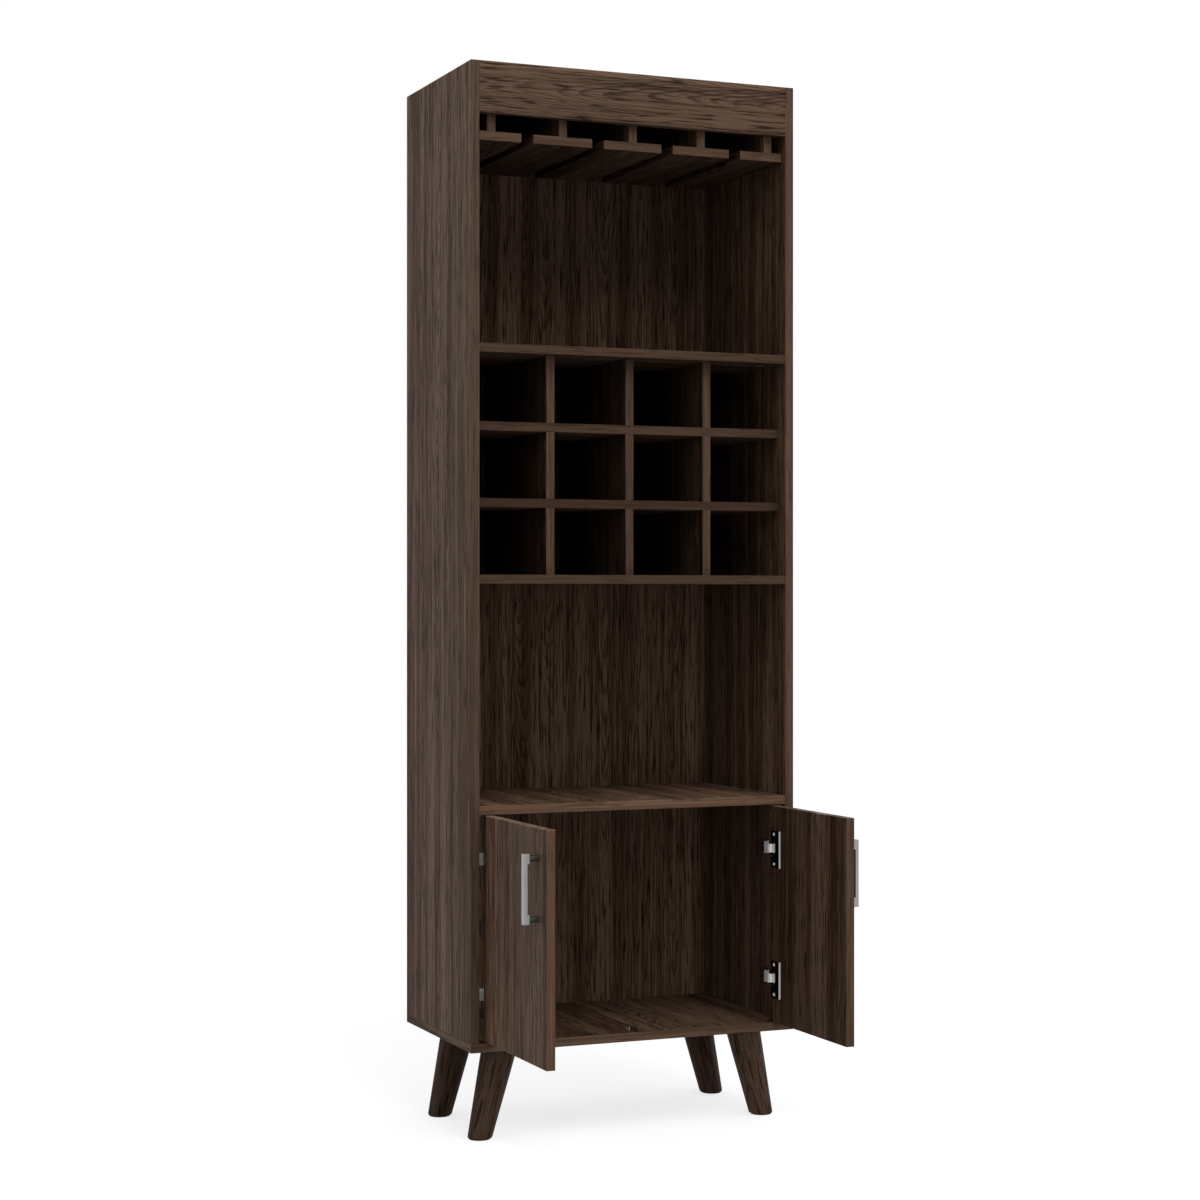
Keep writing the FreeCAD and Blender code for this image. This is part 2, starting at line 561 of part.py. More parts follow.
# Doors with their cups, pins, screws and handles, drawn closed about the cup pivot and then swung open.
for side_name, side in SIDES:
    door, handle = side_name + "_door", side_name + "_handle"
    cups, cup_pins, cup_screws, posts = [], [], [], []
    inner_face = "pivot_depth"
    for level, middle in hinge_heights():
        name = "%s_%s_cup" % (side_name, level)
        cup_x = mirrored(side, "-(cup_x)")
        shell = cut(
            name + "_shell",
            rod(name + "_drum", "2 * cup_radius", "cup_depth - end_gap / 2", cup_x, inner_face, middle, "-Y"),
            rod(name + "_bowl", "2 * (cup_radius - cup_wall)",
                "cup_depth - end_gap / 2 - cup_floor + overrun",
                cup_x, inner_face + " + overrun", middle, "-Y"))
        ear_x = across(side, "-(cup_x) - ear_far", "-(cup_x) + ear_near")
        ear_y = (inner_face, inner_face + " + ear_sheet")
        rim_x = across(side, "-(cup_x) - ear_far", "-(cup_x) - ear_far + ear_rim")
        rim = box(name + "_rim", rim_x, ear_y, (middle + " - ear_root", middle + " + ear_root"))
        pieces = [shell, rim]
        for way, end in ((-1, "low"), (1, "high")):
            ear_ends = [middle + " + %d * %s" % (way, reach) for reach in ("ear_root", "ear_reach")]
            pieces.append(box("%s_ear_%s" % (name, end), ear_x, ear_y, ear_ends[::way]))
            pieces.append(rod("%s_boss_%s" % (name, end), "knuckle", "cup_pin_half - link_room", "0", "0",
                              middle + " + %s" % ("link_room" if way > 0 else "-(cup_pin_half)")))
            fix("%s_screw" % side_name, wood_screw, wood_screw_bore, (name, door),
                mirrored(side, "-(cup_x) - ear_set"), ear_y[1], middle + " + ear_hole * %d" % way, "-Y",
                cup_screws)
        drill((name,), rod(name + "_pin_way", "hinge_pin", "2 * cup_radius", "0", "0",
                           middle + " - cup_radius"))
        drill((name,), box(name + "_notch", across(side, "knuckle / 2", "cup_radius - cup_x + overrun"),
                           (inner_face + " - cup_notch", inner_face + " + overrun"),
                           (middle + " - link_room", middle + " + link_room")))
        cups.append(cut(name, fuse(name + "_blank", pieces), group(name + "_holes", CUTTERS[name])))
        cup_pins.append(rod(name + "_pin", "hinge_pin", "2 * cup_pin_half", "0", "0",
                            middle + " - cup_pin_half"))
        drill((door,), rod(name + "_bore", "cup", "cup_depth + overrun", cup_x, inner_face + " + overrun",
                           middle, "-Y"))
    handle_x = mirrored(side, "-(handle_middle)")
    outer_face = "-(door_face)"
    handle_sides = (handle_x + " - handle_width / 2", handle_x + " + handle_width / 2")
    handle_ends = ("handle_foot", "handle_foot + handle_length")
    grip_front = outer_face + " - handle_rise"
    grip = eased_block(handle + "_blank", handle_sides, (grip_front, grip_front + " + handle_tab"),
                       handle_ends, "handle_round")
    drill((handle,), box(handle + "_finger_gap",
                         (handle_sides[0] + " - overrun", handle_sides[1] + " + overrun"),
                         (grip_front + " + handle_bar", grip_front + " + handle_tab + overrun"),
                         (handle_ends[0] + " + handle_end", handle_ends[1] + " - handle_end")))
    for end, post_z in (("low", handle_ends[0] + " + handle_end / 2"),
                        ("high", handle_ends[1] + " - handle_end / 2")):
        name = "%s_post_%s" % (handle, end)
        reach = "post_sink + post_length + post_bite"
        posts.append(fuse(name, [
            rod(name + "_barrel", "post", "post_length", handle_x, outer_face, post_z, "-Y"),
            rod(name + "_stud", "post_stud", reach, handle_x, outer_face + " + post_sink", post_z, "-Y"),
        ]))
        drill((handle, door), rod(name + "_hole", "post_stud + 2 * bore_gap", reach + " + 2 * end_gap",
                                  handle_x, outer_face + " + post_sink + end_gap", post_z, "-Y"))
    blank = eased_block(door + "_blank", across(side, "-(door_free)", "pivot_edge"), (outer_face, inner_face),
                        ("door_low", "door_high"))
    swing(side, finish(door, blank))
    swing(side, finish(handle, grip))
    for label, pieces in (("_hinge_cups", cups), ("_cup_pins", cup_pins), ("_cup_screws", cup_screws),
                          ("_handle_posts", posts)):
        swing(side, node(side_name + label, group(side_name + label, pieces)))

# Boards, cut last because every fixing above drills into them.
for label, faces in SHELVES.items():
    finish(label, eased_block(label + "_blank", *faces))
for side_name, side in SIDES:
    label = side_name + "_side_panel"
    drill((label,), box(label + "_rebate", across(side, "inner - overrun", "inner + back_rebate"),
                        ("inside_back", "back + overrun"), ("deck - overrun", "roof + overrun")))
    finish(label, eased_block(label + "_blank", across(side, "inner", "inner + board"), ("front", "back"),
                              ("deck", "roof")))
finish("base_panel", eased_block("base_panel_blank", ("-width / 2", "width / 2"), ("front", "back"),
                                 ("leg_height", "deck")))
finish("fascia", eased_block("fascia_blank", full_width, ("front", "front + board"), ("fascia_low", "roof")))
finish("back_panel", box("back_panel_blank",
                         ("-inner - back_rebate + bore_gap", "inner + back_rebate - bore_gap"),
                         ("inside_back", "back"), ("deck", "roof")))
for divider, column in DIVIDERS.items():
    middle = "cell_pitch * %d" % column
    finish(divider, eased_block(divider + "_blank", (middle + " - board / 2", middle + " + board / 2"),
                                ("lattice_front", "inside_back"), ("rack_low + board", "rack_high")))
for cross_shelf, rung in CROSS_SHELVES.items():
    low = "rack_low + row_pitch * %d" % rung
    finish(cross_shelf, eased_block(cross_shelf + "_blank", full_width, ("lattice_front", "inside_back"),
                                    (low, low + " + board")))
for number, (low_x, high_x, strut_x) in enumerate(SLATS, start=1):
    slat, strut = "stem_slat_%d" % number, "stem_strut_%d" % number
    finish(slat, eased_block(slat + "_blank", (low_x, high_x), ("slat_front", "inside_back"),
                             ("slat_low", "slat_high")))
    finish(strut, eased_block(strut + "_blank", (strut_x + " - board / 2", strut_x + " + board / 2"),
                              ("slat_front", "inside_back"), ("slat_high", "ceiling")))
for label, pieces in (("dowels", DOWELS), ("cam_bolts", CAM_BOLTS), ("cam_locks", CAM_LOCKS),
                      ("base_screws", BASE_SCREWS), ("back_nails", NAILS)):
    node(label, group(label, pieces))

doc.recompute()
for thing in doc.Objects:
    if "Invalid" in thing.State or "Error" in thing.State:
        raise RuntimeError("%s did not build: %s" % (thing.Name, thing.State))
for label, solid in NODES.items():
    if solid.Shape.isNull() or not solid.Shape.isValid() or not solid.Shape.Solids:
        raise RuntimeError(label + " has no valid solid")
os.makedirs("parts", exist_ok=True)
for label, solid in NODES.items():
    solid.Shape.exportStep("parts/%s.step" % label)
    print("%-24s %3d solids %12.1f mm3" % (label, len(solid.Shape.Solids), solid.Shape.Volume))
print(len(NODES), "nodes")
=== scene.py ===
import math

import bpy
import numpy as np
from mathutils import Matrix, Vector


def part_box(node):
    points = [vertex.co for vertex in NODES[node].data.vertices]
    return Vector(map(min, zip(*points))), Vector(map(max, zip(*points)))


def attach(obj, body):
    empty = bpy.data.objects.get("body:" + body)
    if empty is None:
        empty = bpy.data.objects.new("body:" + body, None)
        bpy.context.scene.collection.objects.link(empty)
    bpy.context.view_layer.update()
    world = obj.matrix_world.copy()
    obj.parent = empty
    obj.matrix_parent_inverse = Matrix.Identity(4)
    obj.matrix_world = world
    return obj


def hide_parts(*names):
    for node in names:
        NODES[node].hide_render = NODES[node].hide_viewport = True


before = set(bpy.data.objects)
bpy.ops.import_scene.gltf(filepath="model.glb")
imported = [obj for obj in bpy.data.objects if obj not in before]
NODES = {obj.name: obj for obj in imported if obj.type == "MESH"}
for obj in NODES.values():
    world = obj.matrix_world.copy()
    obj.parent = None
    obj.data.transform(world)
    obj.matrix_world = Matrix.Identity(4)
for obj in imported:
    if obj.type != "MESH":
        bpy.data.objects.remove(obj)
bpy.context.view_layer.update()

bl_info = {
    "name": "Bar Armoire",
    "version": (1, 0, 0),
    "blender": (4, 5, 0),
    "location": "View3D > Sidebar > Bar Armoire",
    "description": "Finishes, fittings and studio for a tall bar cabinet",
    "category": "Object",
}

SIDES = (("left", -1.0), ("right", 1.0))
WHITE = (1.0, 1.0, 1.0, 1.0)

# Boards by the way their grain runs.
BOARDS = {
    "Z": ("left_side_panel", "right_side_panel", "left_door", "right_door",
          "rack_divider_left", "rack_divider_centre", "rack_divider_right",
          "stem_strut_1", "stem_strut_2", "stem_strut_3", "stem_strut_4", "stem_strut_5"),
    "X": ("fascia", "top_panel", "rack_top_shelf", "rack_bottom_shelf",
          "rack_shelf_lower", "rack_shelf_upper"),
    "Y": ("base_panel", "bar_shelf",
          "stem_slat_1", "stem_slat_2", "stem_slat_3", "stem_slat_4", "stem_slat_5"),
}
# Names of like boards that share one tone.
FAMILIES = ("rack_divider", "stem_slat")
# Share of the growth rings that shows on boards of each grain direction, the back and the legs.
RINGS = {"Z": 1.05, "X": 1.05, "Y": 1.5, "back": 0.9, "leg": 0.6}
# Tones of boards as shares of the common tone. The rack's shelves and dividers and the stem slats
# are darker as painted shade in the wine cells and under the slats, and the bar shelf is paler as
# painted light on its top; the other boards differ in tone from board to board.
BOARD_TONES_AND_PAINTED_LIGHT = {"fascia": 0.96, "left_side_panel": 1.2, "right_side_panel": 1.08, "left_door": 1.1,
         "right_door": 0.8, "bar_shelf": 1.35, "base_panel": 0.95, "rack_top_shelf": 0.64,
         "rack_shelf_upper": 0.64, "rack_shelf_lower": 0.64, "rack_bottom_shelf": 0.85,
         "rack_divider": 0.45, "stem_slat": 0.6}
# Tone of the bands on some front edges, as shares of their boards' red, green and blue. The
# dividers' and slats' bands take back most of the painted shade that their tones put on their
# faces; the left side panel's band is darker and less red.
FRONT_SHARES = {"left_side_panel": (0.77, 0.84, 0.9), "rack_divider": (1.9, 1.9, 1.9),
                "stem_slat": (1.6, 1.6, 1.6)}
# Place in the figure where the first board or leg starts, and the step from one to the next.
BOARD_START, BOARD_STEP = np.array([0.11, 0.0, 0.4]), np.array([0.37, 0.23, 0.83])
LEG_START, LEG_STEP = np.array([0.02, 0.0, 0.0]), np.array([0.31, 0.17, 0.53])
BACK_START = (0.06, 0.0, 0.2)
NO_SHIFT = (0.0, 0.0, 0.0)
# Depth of the band on an edge, and how much plainer and more even it is than the board's faces.
BAND = 0.001
BAND_PLAINNESS = 0.9
BAND_EVENNESS = 0.55
# Shares of the light and the middle grain in the even tone of a band.
EVEN_SHARES = (0.36, 0.44)
# The back panel reflects less than the boards, and the dowels are paler and nearly plain.
BACK_POLISH = 0.2
BEECH_TONE, BEECH_RING = 7.0, 0.1

# Scale and turn that carry the grain to the pattern's Z, and sum the other two axes into its X
# and Y, so that the lines run on along the edges of a board as they do along its faces.
ROOT_TWO = math.sqrt(2.0)
PATTERN_TURNS = {
    "Z": ((ROOT_TWO, ROOT_TWO, 1.0), (0.0, 0.0, math.pi / 4)),
    "X": ((1.0, ROOT_TWO, ROOT_TWO), (math.pi / 4, -math.pi / 2, 0.0)),
    "Y": ((ROOT_TWO, 1.0, ROOT_TWO), (math.pi / 2, 0.0, math.pi / 4)),
    "own": ((1.0, 1.0, 1.0), (0.0, 0.0, 0.0)),
}

# Noise behind each mark: waves per metre on three axes, detail and roughness.
NOISES = {
    "sway": ((4.0, 4.0, 1.4), 2.0, 0.5),
    "wander": ((13.0, 13.0, 5.0), 3.0, 0.5),
    "patches": ((12.0, 12.0, 1.6), 2.0, 0.5),
    "broad": ((26.0, 26.0, 0.7), 2.0, 0.5),
    "fine": ((170.0, 170.0, 3.5), 3.0, 0.65),
    "dashes": ((215.0, 215.0, 18.0), 1.0, 0.5),
    "pores": ((850.0, 850.0, 45.0), 1.0, 0.5),
    "scratches": ((2600.0, 2600.0, 26.0), 2.0, 0.5),
    "haze": ((40.0, 40.0, 40.0), 2.0, 0.5),
    "spark grain": ((1800.0, 1800.0, 1800.0), 2.0, 0.5),
    "blush": ((60.0, 60.0, 60.0), 2.0, 0.5),
}
# Where each mark begins and where it is full, on its noise or within its ring.
SPANS = {"late wood": (0.4, 0.93), "ring edge": (1.0, 0.94), "patches": (0.34, 0.6),
         "streaks": (0.4, 0.6), "dashes": (0.52, 0.7), "pores": (0.62, 0.72),
         "scratches": (0.3, 0.7), "spark grain": (0.2, 0.8), "mottle": (0.3, 0.7)}
# Walnut: rings within one flame, how far leaves sway and rings wander, lean and shift of a leaf's
# rings, place of a leaf's heart, and tones from leaf to leaf.
CROWN_RINGS = 3.0
SWAY_REACH = 0.06
WANDER_RINGS = 4.2
LEAF_LEAN = 1.1
LEAF_SHIFT = 9.0
HEART_START, HEART_SPREAD = 0.25, 0.5
LEAF_TONES = (0.87, 1.13)
# Shares of broad and fine streaks, of dashes and pores in the colour, and of fine streaks and rings
# in the relief, and the roughness beside the streaks and on them.
BROAD_SHARE, FINE_SHARE = 0.45, 0.55
DASH_SHARE, PORE_SHARE = 0.85, 0.3
FINE_RELIEF, RING_RELIEF = 0.4, 0.4
WOOD_ROUGHNESS = (0.62, 0.5)
# Metal: tint of its scratches, and what haze and scratches add to its roughness.
SCRATCH_TINT = (0.72, 0.72, 0.73, 1.0)
HAZE_ROUGHNESS, SCRATCH_ROUGHNESS = 0.12, 0.06
# Plastic: tones of the foot glides and the door stop, how much paler its blush is, and roughness.
GLIDE_BLACK = (0.02, 0.02, 0.02)
STOP_BLACK = (0.016, 0.011, 0.008)
BLUSH_SHARE = 1.5
PLASTIC_ROUGHNESS = (0.42, 0.6)
# Depth of the relief in metres, and its strength.
WOOD_RELIEF = (0.0004, 0.25)
METAL_RELIEF = (0.00005, 0.15)
PLASTIC_RELIEF = (0.0001, 0.2)
# Roughness of each plating.
GLOSS = {"mirror": 0.08, "dark": 0.12, "zinc": 0.42, "screw": 0.28, "fixing": 0.3, "handle": 0.32,
         "post": 0.4}
# Mottled colours: the tones between which they vary, and waves per metre: the fibreboard on the
# back of the back panel, and the door stop's left cheek, paler as painted light where it faces the
# light.
# Detail and roughness of their noise.
FIBREBOARD = ((0.13, 0.072, 0.036), (0.2, 0.12, 0.064), 420.0)
STOP_CHEEK_PAINTED_LIGHT = ((0.22, 0.19, 0.16), (0.4, 0.35, 0.3), 900.0)
MOTTLE_NOISE = (4.0, 0.7)
# Bright zinc, paler and less metallic than the plating as a painted highlight on the hinge links
# and the front of the arms' noses: how metallic it is, its darker tone as a share, its waves per
# metre, and the length of a hinge arm's nose that has it.
ZINC_METALLIC = 0.35
ZINC_DARKER = 0.9
ZINC_WAVES = 300.0
ARM_NOSE = 0.0171

# Angle in degrees past which an edge of a new piece is sharp.
CREASE = 35.0
# Rings of a leg's taper and of its eased foot, and points around.
TAPER_RINGS, EASING_RINGS, LEG_AROUND = 25, 7, 72
# Screws: rings of the body and of the head, points around, and turn from one screw to the next.
# Shares of the head's radius for its upright rim, the rings inside it and the cross recess.
BODY_RINGS, HEAD_RINGS, SCREW_AROUND = 4, 18, 56
SCREW_TURN = 2.4
RIM_LOW, RIM_HIGH = 0.15, 0.05
HEAD_OUTER, HEAD_INNER = 0.96, 0.04
CROSS_WIDTH, CROSS_SIDE = 0.24, 0.12
CROSS_REACH, CROSS_END = 0.62, 0.1
CROSS_DEPTH, CROSS_RISE = 0.4, 0.5
# Adjusting screws: distances from the arm's rear end, cone, length and height over the arm.
ADJUSTER_INSETS = (0.01, 0.029)
ADJUSTER_CONE, ADJUSTER_LENGTH, ADJUSTER_PROUD = 0.001, 0.003, 0.0006
# Outline of the bevelled rim of a hinge flange: rise from the door, and reach to its free edge.
RIM_PROFILE = np.array([(0.0, 0.0021), (0.0024, 0.0007), (0.0027, 0.0003), (0.0027, 0.0),
                        (0.0, 0.0)])

# Stage: height that the key lamp aims at, sizes of the lamps, and reach and depth of the floor.
AIM_HEIGHT = 0.9
KEY_SIZE, FILL_SIZE = (3.0, 3.0), (0.6, 0.3)
FLOOR_REACH, FLOOR_DEPTH = 40.0, 0.0005
# Camera: width of its sensor in millimetres, downward shift in pixels, width of the picture in
# pixels, and how far it sees.
SENSOR = 36.0
SHIFT_PIXELS, PICTURE_PIXELS = 2.6, 1200.0
VIEW_END = 50.0

# Sockets of a Mix node for each kind of data, which share their names: both inputs and the output.
MIX_SOCKETS = {"FLOAT": (2, 3, 0), "VECTOR": (4, 5, 1), "RGBA": (6, 7, 2)}
# What every figure group puts out.
FIGURE_OUTPUTS = (("Color", "Color"), ("Roughness", "Float"), ("Height", "Float"))


def put(tree, kind, values=(), **settings):
    """Add a shader node: settings are its options, values its inputs in order or by key."""
    node = tree.nodes.new(kind)
    for name, value in settings.items():
        setattr(node, name, value)
    pairs = values.items() if isinstance(values, dict) else enumerate(values)
    for key, value in pairs:
        if isinstance(value, bpy.types.NodeSocket):
            tree.links.new(value, node.inputs[key])
        elif value is not None:
            node.inputs[key].default_value = value
    return node


def calc(tree, operation, *values):
    """One step of arithmetic on numbers or sockets."""
    return put(tree, "ShaderNodeMath", values, operation=operation).outputs[0]


def noise(tree, vector, waves, detail, roughness):
    """A value noise from 0 to 1 whose waves per metre are given for each axis."""
    stretched = put(tree, "ShaderNodeVectorMath", (vector, waves), operation="MULTIPLY").outputs[0]
    settings = {"Vector": stretched, "Scale": 1.0, "Detail": detail, "Roughness": roughness}
    return put(tree, "ShaderNodeTexNoise", settings).outputs[0]


def ramp(tree, value, low, high, out_low=0.0, out_high=1.0):
    """A smooth step from one level to another while the value goes from low to high."""
    return put(tree, "ShaderNodeMapRange", (value, low, high, out_low, out_high),
               interpolation_type="SMOOTHSTEP").outputs[0]


def blend(tree, share, first, second, mode="MIX", kind="RGBA"):
    """A share of the second colour, vector or number over the first."""
    below, above, result = MIX_SOCKETS[kind]
    return put(tree, "ShaderNodeMix", {0: share, below: first, above: second}, data_type=kind,
               blend_type=mode).outputs[result]


def opaque(tone):
    """A colour of three primaries with its alpha."""
    return tuple(tone) + (1.0,)


def own_place(tree):
    """The coordinates of the piece itself."""
    return put(tree, "ShaderNodeTexCoord").outputs["Object"]


def beyond(tree, axis, sign, limit):
    """A mask that is 1 where sign * coordinate is past the limit on one axis."""
    along = put(tree, "ShaderNodeSeparateXYZ", (own_place(tree),)).outputs[axis]
    return calc(tree, "GREATER_THAN", calc(tree, "MULTIPLY", along, sign), limit)


def seen_rays(tree):
    """A mask that is 1 for rays that see the studio: from the camera, mirrored or let through."""
    path = put(tree, "ShaderNodeLightPath").outputs
    direct = calc(tree, "MAXIMUM", path["Is Camera Ray"], path["Is Glossy Ray"])
    return calc(tree, "MAXIMUM", direct, path["Is Transmission Ray"])


def new_group(name, inputs, outputs):
    """An empty node group with typed sockets, and its input and output sockets."""
    group = bpy.data.node_groups.new(name, "ShaderNodeTree")
    for way, sockets in (("INPUT", inputs), ("OUTPUT", outputs)):
        for label, kind in sockets:
            group.interface.new_socket(label, in_out=way, socket_type="NodeSocket" + kind)
    given, out = group.nodes.new("NodeGroupInput"), group.nodes.new("NodeGroupOutput")
    return group, given.outputs, out.inputs


def walnut_figure():
    """Sliced walnut veneer in narrow leaves laid side by side.

    Across each leaf u and along the grain g, the growth rings are the level lines of
    v = lean * g / crown_length + crown_rings * sqrt(1 + (u / crown_width)^2) + noise, which are
    nested flames. Each ring fades from pale to dark with a sharp late edge. Every leaf has a lean
    and a tone of its own, and long streaks, short dashes and fine pores lie over the rings.
    """
    if "Walnut figure" in bpy.data.node_groups:
        return bpy.data.node_groups["Walnut figure"]
    group, given, out = new_group(
        "Walnut figure",
        (("Vector", "Vector"), ("Leaf Width", "Float"), ("Crown Length", "Float"),
         ("Crown Width", "Float"), ("Ring Strength", "Float"), ("Streak Strength", "Float"),
         ("Light", "Color"), ("Middle", "Color"), ("Dark", "Color")), FIGURE_OUTPUTS)

    def add(first, second):
        return calc(group, "ADD", first, second)

    def times(first, second):
        return calc(group, "MULTIPLY", first, second)

    def less(first, second):
        return calc(group, "SUBTRACT", first, second)

    place = given["Vector"]
    field = {name: noise(group, place, *NOISES[name])
             for name in ("sway", "wander", "patches", "broad", "fine", "dashes", "pores")}
    axes = put(group, "ShaderNodeSeparateXYZ", (place,)).outputs
    across = add(axes["X"], times(less(field["sway"], 0.5), SWAY_REACH))
    strip = calc(group, "DIVIDE", across, given["Leaf Width"])
    number = calc(group, "FLOOR", strip)
    chance = put(group, "ShaderNodeTexWhiteNoise", {"W": number}, noise_dimensions="1D").outputs
    pick = put(group, "ShaderNodeSeparateColor", (chance["Color"],)).outputs
    heart = add(times(pick[2], HEART_SPREAD), HEART_START)
    inside = times(less(less(strip, number), heart), given["Leaf Width"])
    narrow = calc(group, "DIVIDE", inside, given["Crown Width"])
    flame = times(calc(group, "SQRT", add(times(narrow, narrow), 1.0)), CROWN_RINGS)
    lean = less(times(pick[0], 2.0 * LEAF_LEAN), LEAF_LEAN)
    along = times(calc(group, "DIVIDE", axes["Z"], given["Crown Length"]), lean)
    wander = add(times(field["wander"], WANDER_RINGS), times(pick[1], LEAF_SHIFT))
    ring = calc(group, "FRACT", add(add(along, flame), wander))
    late = times(ramp(group, ring, *SPANS["late wood"]), ramp(group, ring, *SPANS["ring edge"]))
    patches = ramp(group, field["patches"], *SPANS["patches"])
    lines = times(times(late, patches), given["Ring Strength"])
    both = add(times(field["broad"], BROAD_SHARE), times(field["fine"], FINE_SHARE))
    streaks = ramp(group, both, *SPANS["streaks"])
    dashes = ramp(group, field["dashes"], *SPANS["dashes"])
    pores = ramp(group, field["pores"], *SPANS["pores"])
    shade = blend(group, times(streaks, given["Streak Strength"]), given["Middle"], given["Light"])
    leaf_tone = ramp(group, pick[1], 0.0, 1.0, *LEAF_TONES)
    shade = put(group, "ShaderNodeVectorMath", {0: shade, "Scale": leaf_tone},
                operation="SCALE").outputs[0]
    for marks, share in ((lines, 1.0), (dashes, DASH_SHARE), (pores, PORE_SHARE)):
        shade = blend(group, times(marks, share), shade, given["Dark"])
    group.links.new(shade, out["Color"])
    group.links.new(ramp(group, streaks, 0.0, 1.0, *WOOD_ROUGHNESS), out["Roughness"])
    hollows = add(pores, times(lines, RING_RELIEF))
    group.links.new(less(times(field["fine"], FINE_RELIEF), hollows), out["Height"])
    return group


def brushed_figure():
    """Drawn metal: fine scratches along local Z, as noise stretched a hundredfold, under a haze."""
    if "Brushed figure" in bpy.data.node_groups:
        return bpy.data.node_groups["Brushed figure"]
    group, given, out = new_group(
        "Brushed figure", (("Vector", "Vector"), ("Tone", "Color"), ("Gloss", "Float")),
        FIGURE_OUTPUTS)
    scratch = noise(group, given["Vector"], *NOISES["scratches"])
    haze = noise(group, given["Vector"], *NOISES["haze"])
    darker = blend(group, 1.0, given["Tone"], SCRATCH_TINT, "MULTIPLY")
    bright = ramp(group, scratch, *SPANS["scratches"])
    group.links.new(blend(group, bright, darker, given["Tone"]), out["Color"])
    rough = calc(group, "ADD", given["Gloss"], calc(group, "MULTIPLY", haze, HAZE_ROUGHNESS))
    rougher = calc(group, "MULTIPLY", scratch, SCRATCH_ROUGHNESS)
    group.links.new(calc(group, "ADD", rough, rougher), out["Roughness"])
    group.links.new(scratch, out["Height"])
    return group


def shader_of(material):
    """The shader that a new material comes with."""
    return next(node for node in material.node_tree.nodes if node.type == "BSDF_PRINCIPLED")


def new_material(name):
    """A material, its tree and its shader."""
    material = bpy.data.materials.new(name)
    material.use_nodes = True
    return material, material.node_tree, shader_of(material)


def raise_relief(tree, shader, height, depth, strength):
    """Bump the surface by a height."""
    bump = put(tree, "ShaderNodeBump", {"Strength": strength, "Distance": depth, "Height": height})
    tree.links.new(bump.outputs[0], shader.inputs["Normal"])


def finish_with(tree, shader, group, relief):
    """Feed a figure group's colour, roughness and height to the shader."""
    tree.links.new(group.outputs["Color"], shader.inputs["Base Color"])
    tree.links.new(group.outputs["Roughness"], shader.inputs["Roughness"])
    raise_relief(tree, shader, group.outputs["Height"], *relief)


def pattern_space(tree, turn, offset):
    """The piece's place turned and shifted, or its own grain attribute where the turn is None."""
    if turn is None:
        turned = put(tree, "ShaderNodeAttribute", attribute_name="grain").outputs["Vector"]
    else:
        scale, angles = PATTERN_TURNS[turn]
        turned = put(tree, "ShaderNodeMapping",
                     {"Vector": own_place(tree), "Rotation": angles, "Scale": scale}).outputs[0]
    return put(tree, "ShaderNodeVectorMath", (turned, offset), operation="ADD").outputs[0]


def walnut(name, turn, offset, wood, tone_share, ring_share, front=None, polish_share=1.0):
    """Walnut laminate whose grain follows the pattern's Z after the turn.

    Before the plane Y = front it is a band glued to the front edge, plainer, more even and with
    its grain along the edge.
    """
    material, tree, shader = new_material(name)
    light, middle, dark = (opaque(part * tone_share for part in tone)
                           for tone in (wood.light, wood.middle, wood.dark))
    ring = wood.ring * ring_share
    group = put(tree, "ShaderNodeGroup",
                {"Leaf Width": wood.leaf, "Crown Length": wood.crown_length,
                 "Crown Width": wood.crown_width, "Ring Strength": ring,
                 "Streak Strength": wood.streak, "Light": light, "Middle": middle, "Dark": dark},
                node_tree=walnut_figure())
    finish_with(tree, shader, group, WOOD_RELIEF)
    figured = pattern_space(tree, turn, offset)
    if front is not None:
        band = beyond(tree, "Y", -1.0, -front)
        edge = pattern_space(tree, "Z" if turn == "Z" else "X", offset)
        figured = blend(tree, band, figured, edge, kind="VECTOR")
        plainer = calc(tree, "MULTIPLY_ADD", band, -BAND_PLAINNESS * ring, ring)
        tree.links.new(plainer, group.inputs["Ring Strength"])
        even = tuple(np.dot(EVEN_SHARES, (light, middle)))
        evenness = calc(tree, "MULTIPLY", band, BAND_EVENNESS)
        evened = blend(tree, evenness, group.outputs["Color"], even)
        tree.links.new(evened, shader.inputs["Base Color"])
    tree.links.new(figured, group.inputs["Vector"])
    shader.inputs["Specular IOR Level"].default_value = wood.polish * polish_share
    return material


def metal(name, tone, gloss, metallic=1.0):
    """Brushed or plated metal, with its scratches upright."""
    material, tree, shader = new_material(name)
    group = put(tree, "ShaderNodeGroup",
                {"Vector": pattern_space(tree, "own", NO_SHIFT), "Tone": opaque(tone),
                 "Gloss": gloss}, node_tree=brushed_figure())
    finish_with(tree, shader, group, METAL_RELIEF)
    shader.inputs["Metallic"].default_value = metallic
    return material


def moulded(name, tone):
    """Moulded plastic with a fine spark-eroded grain."""
    material, tree, shader = new_material(name)
    place = own_place(tree)
    grain = noise(tree, place, *NOISES["spark grain"])
    blush = noise(tree, place, *NOISES["blush"])
    pale = opaque(min(1.0, part * BLUSH_SHARE) for part in tone)
    rough = ramp(tree, grain, *SPANS["spark grain"], *PLASTIC_ROUGHNESS)
    tree.links.new(blend(tree, blush, opaque(tone), pale), shader.inputs["Base Color"])
    tree.links.new(rough, shader.inputs["Roughness"])
    shader.inputs["Specular IOR Level"].default_value = 0.0
    raise_relief(tree, shader, grain, *PLASTIC_RELIEF)
    return material


def recolour(material, axis, sign, limit, change):
    """Change the colour where sign * coordinate is past the limit on one axis."""
    tree, shader = material.node_tree, shader_of(material)
    common = shader.inputs["Base Color"].links[0].from_socket
    past = beyond(tree, axis, sign, limit)
    tree.links.new(change(tree, past, common), shader.inputs["Base Color"])
    return tree, shader, past


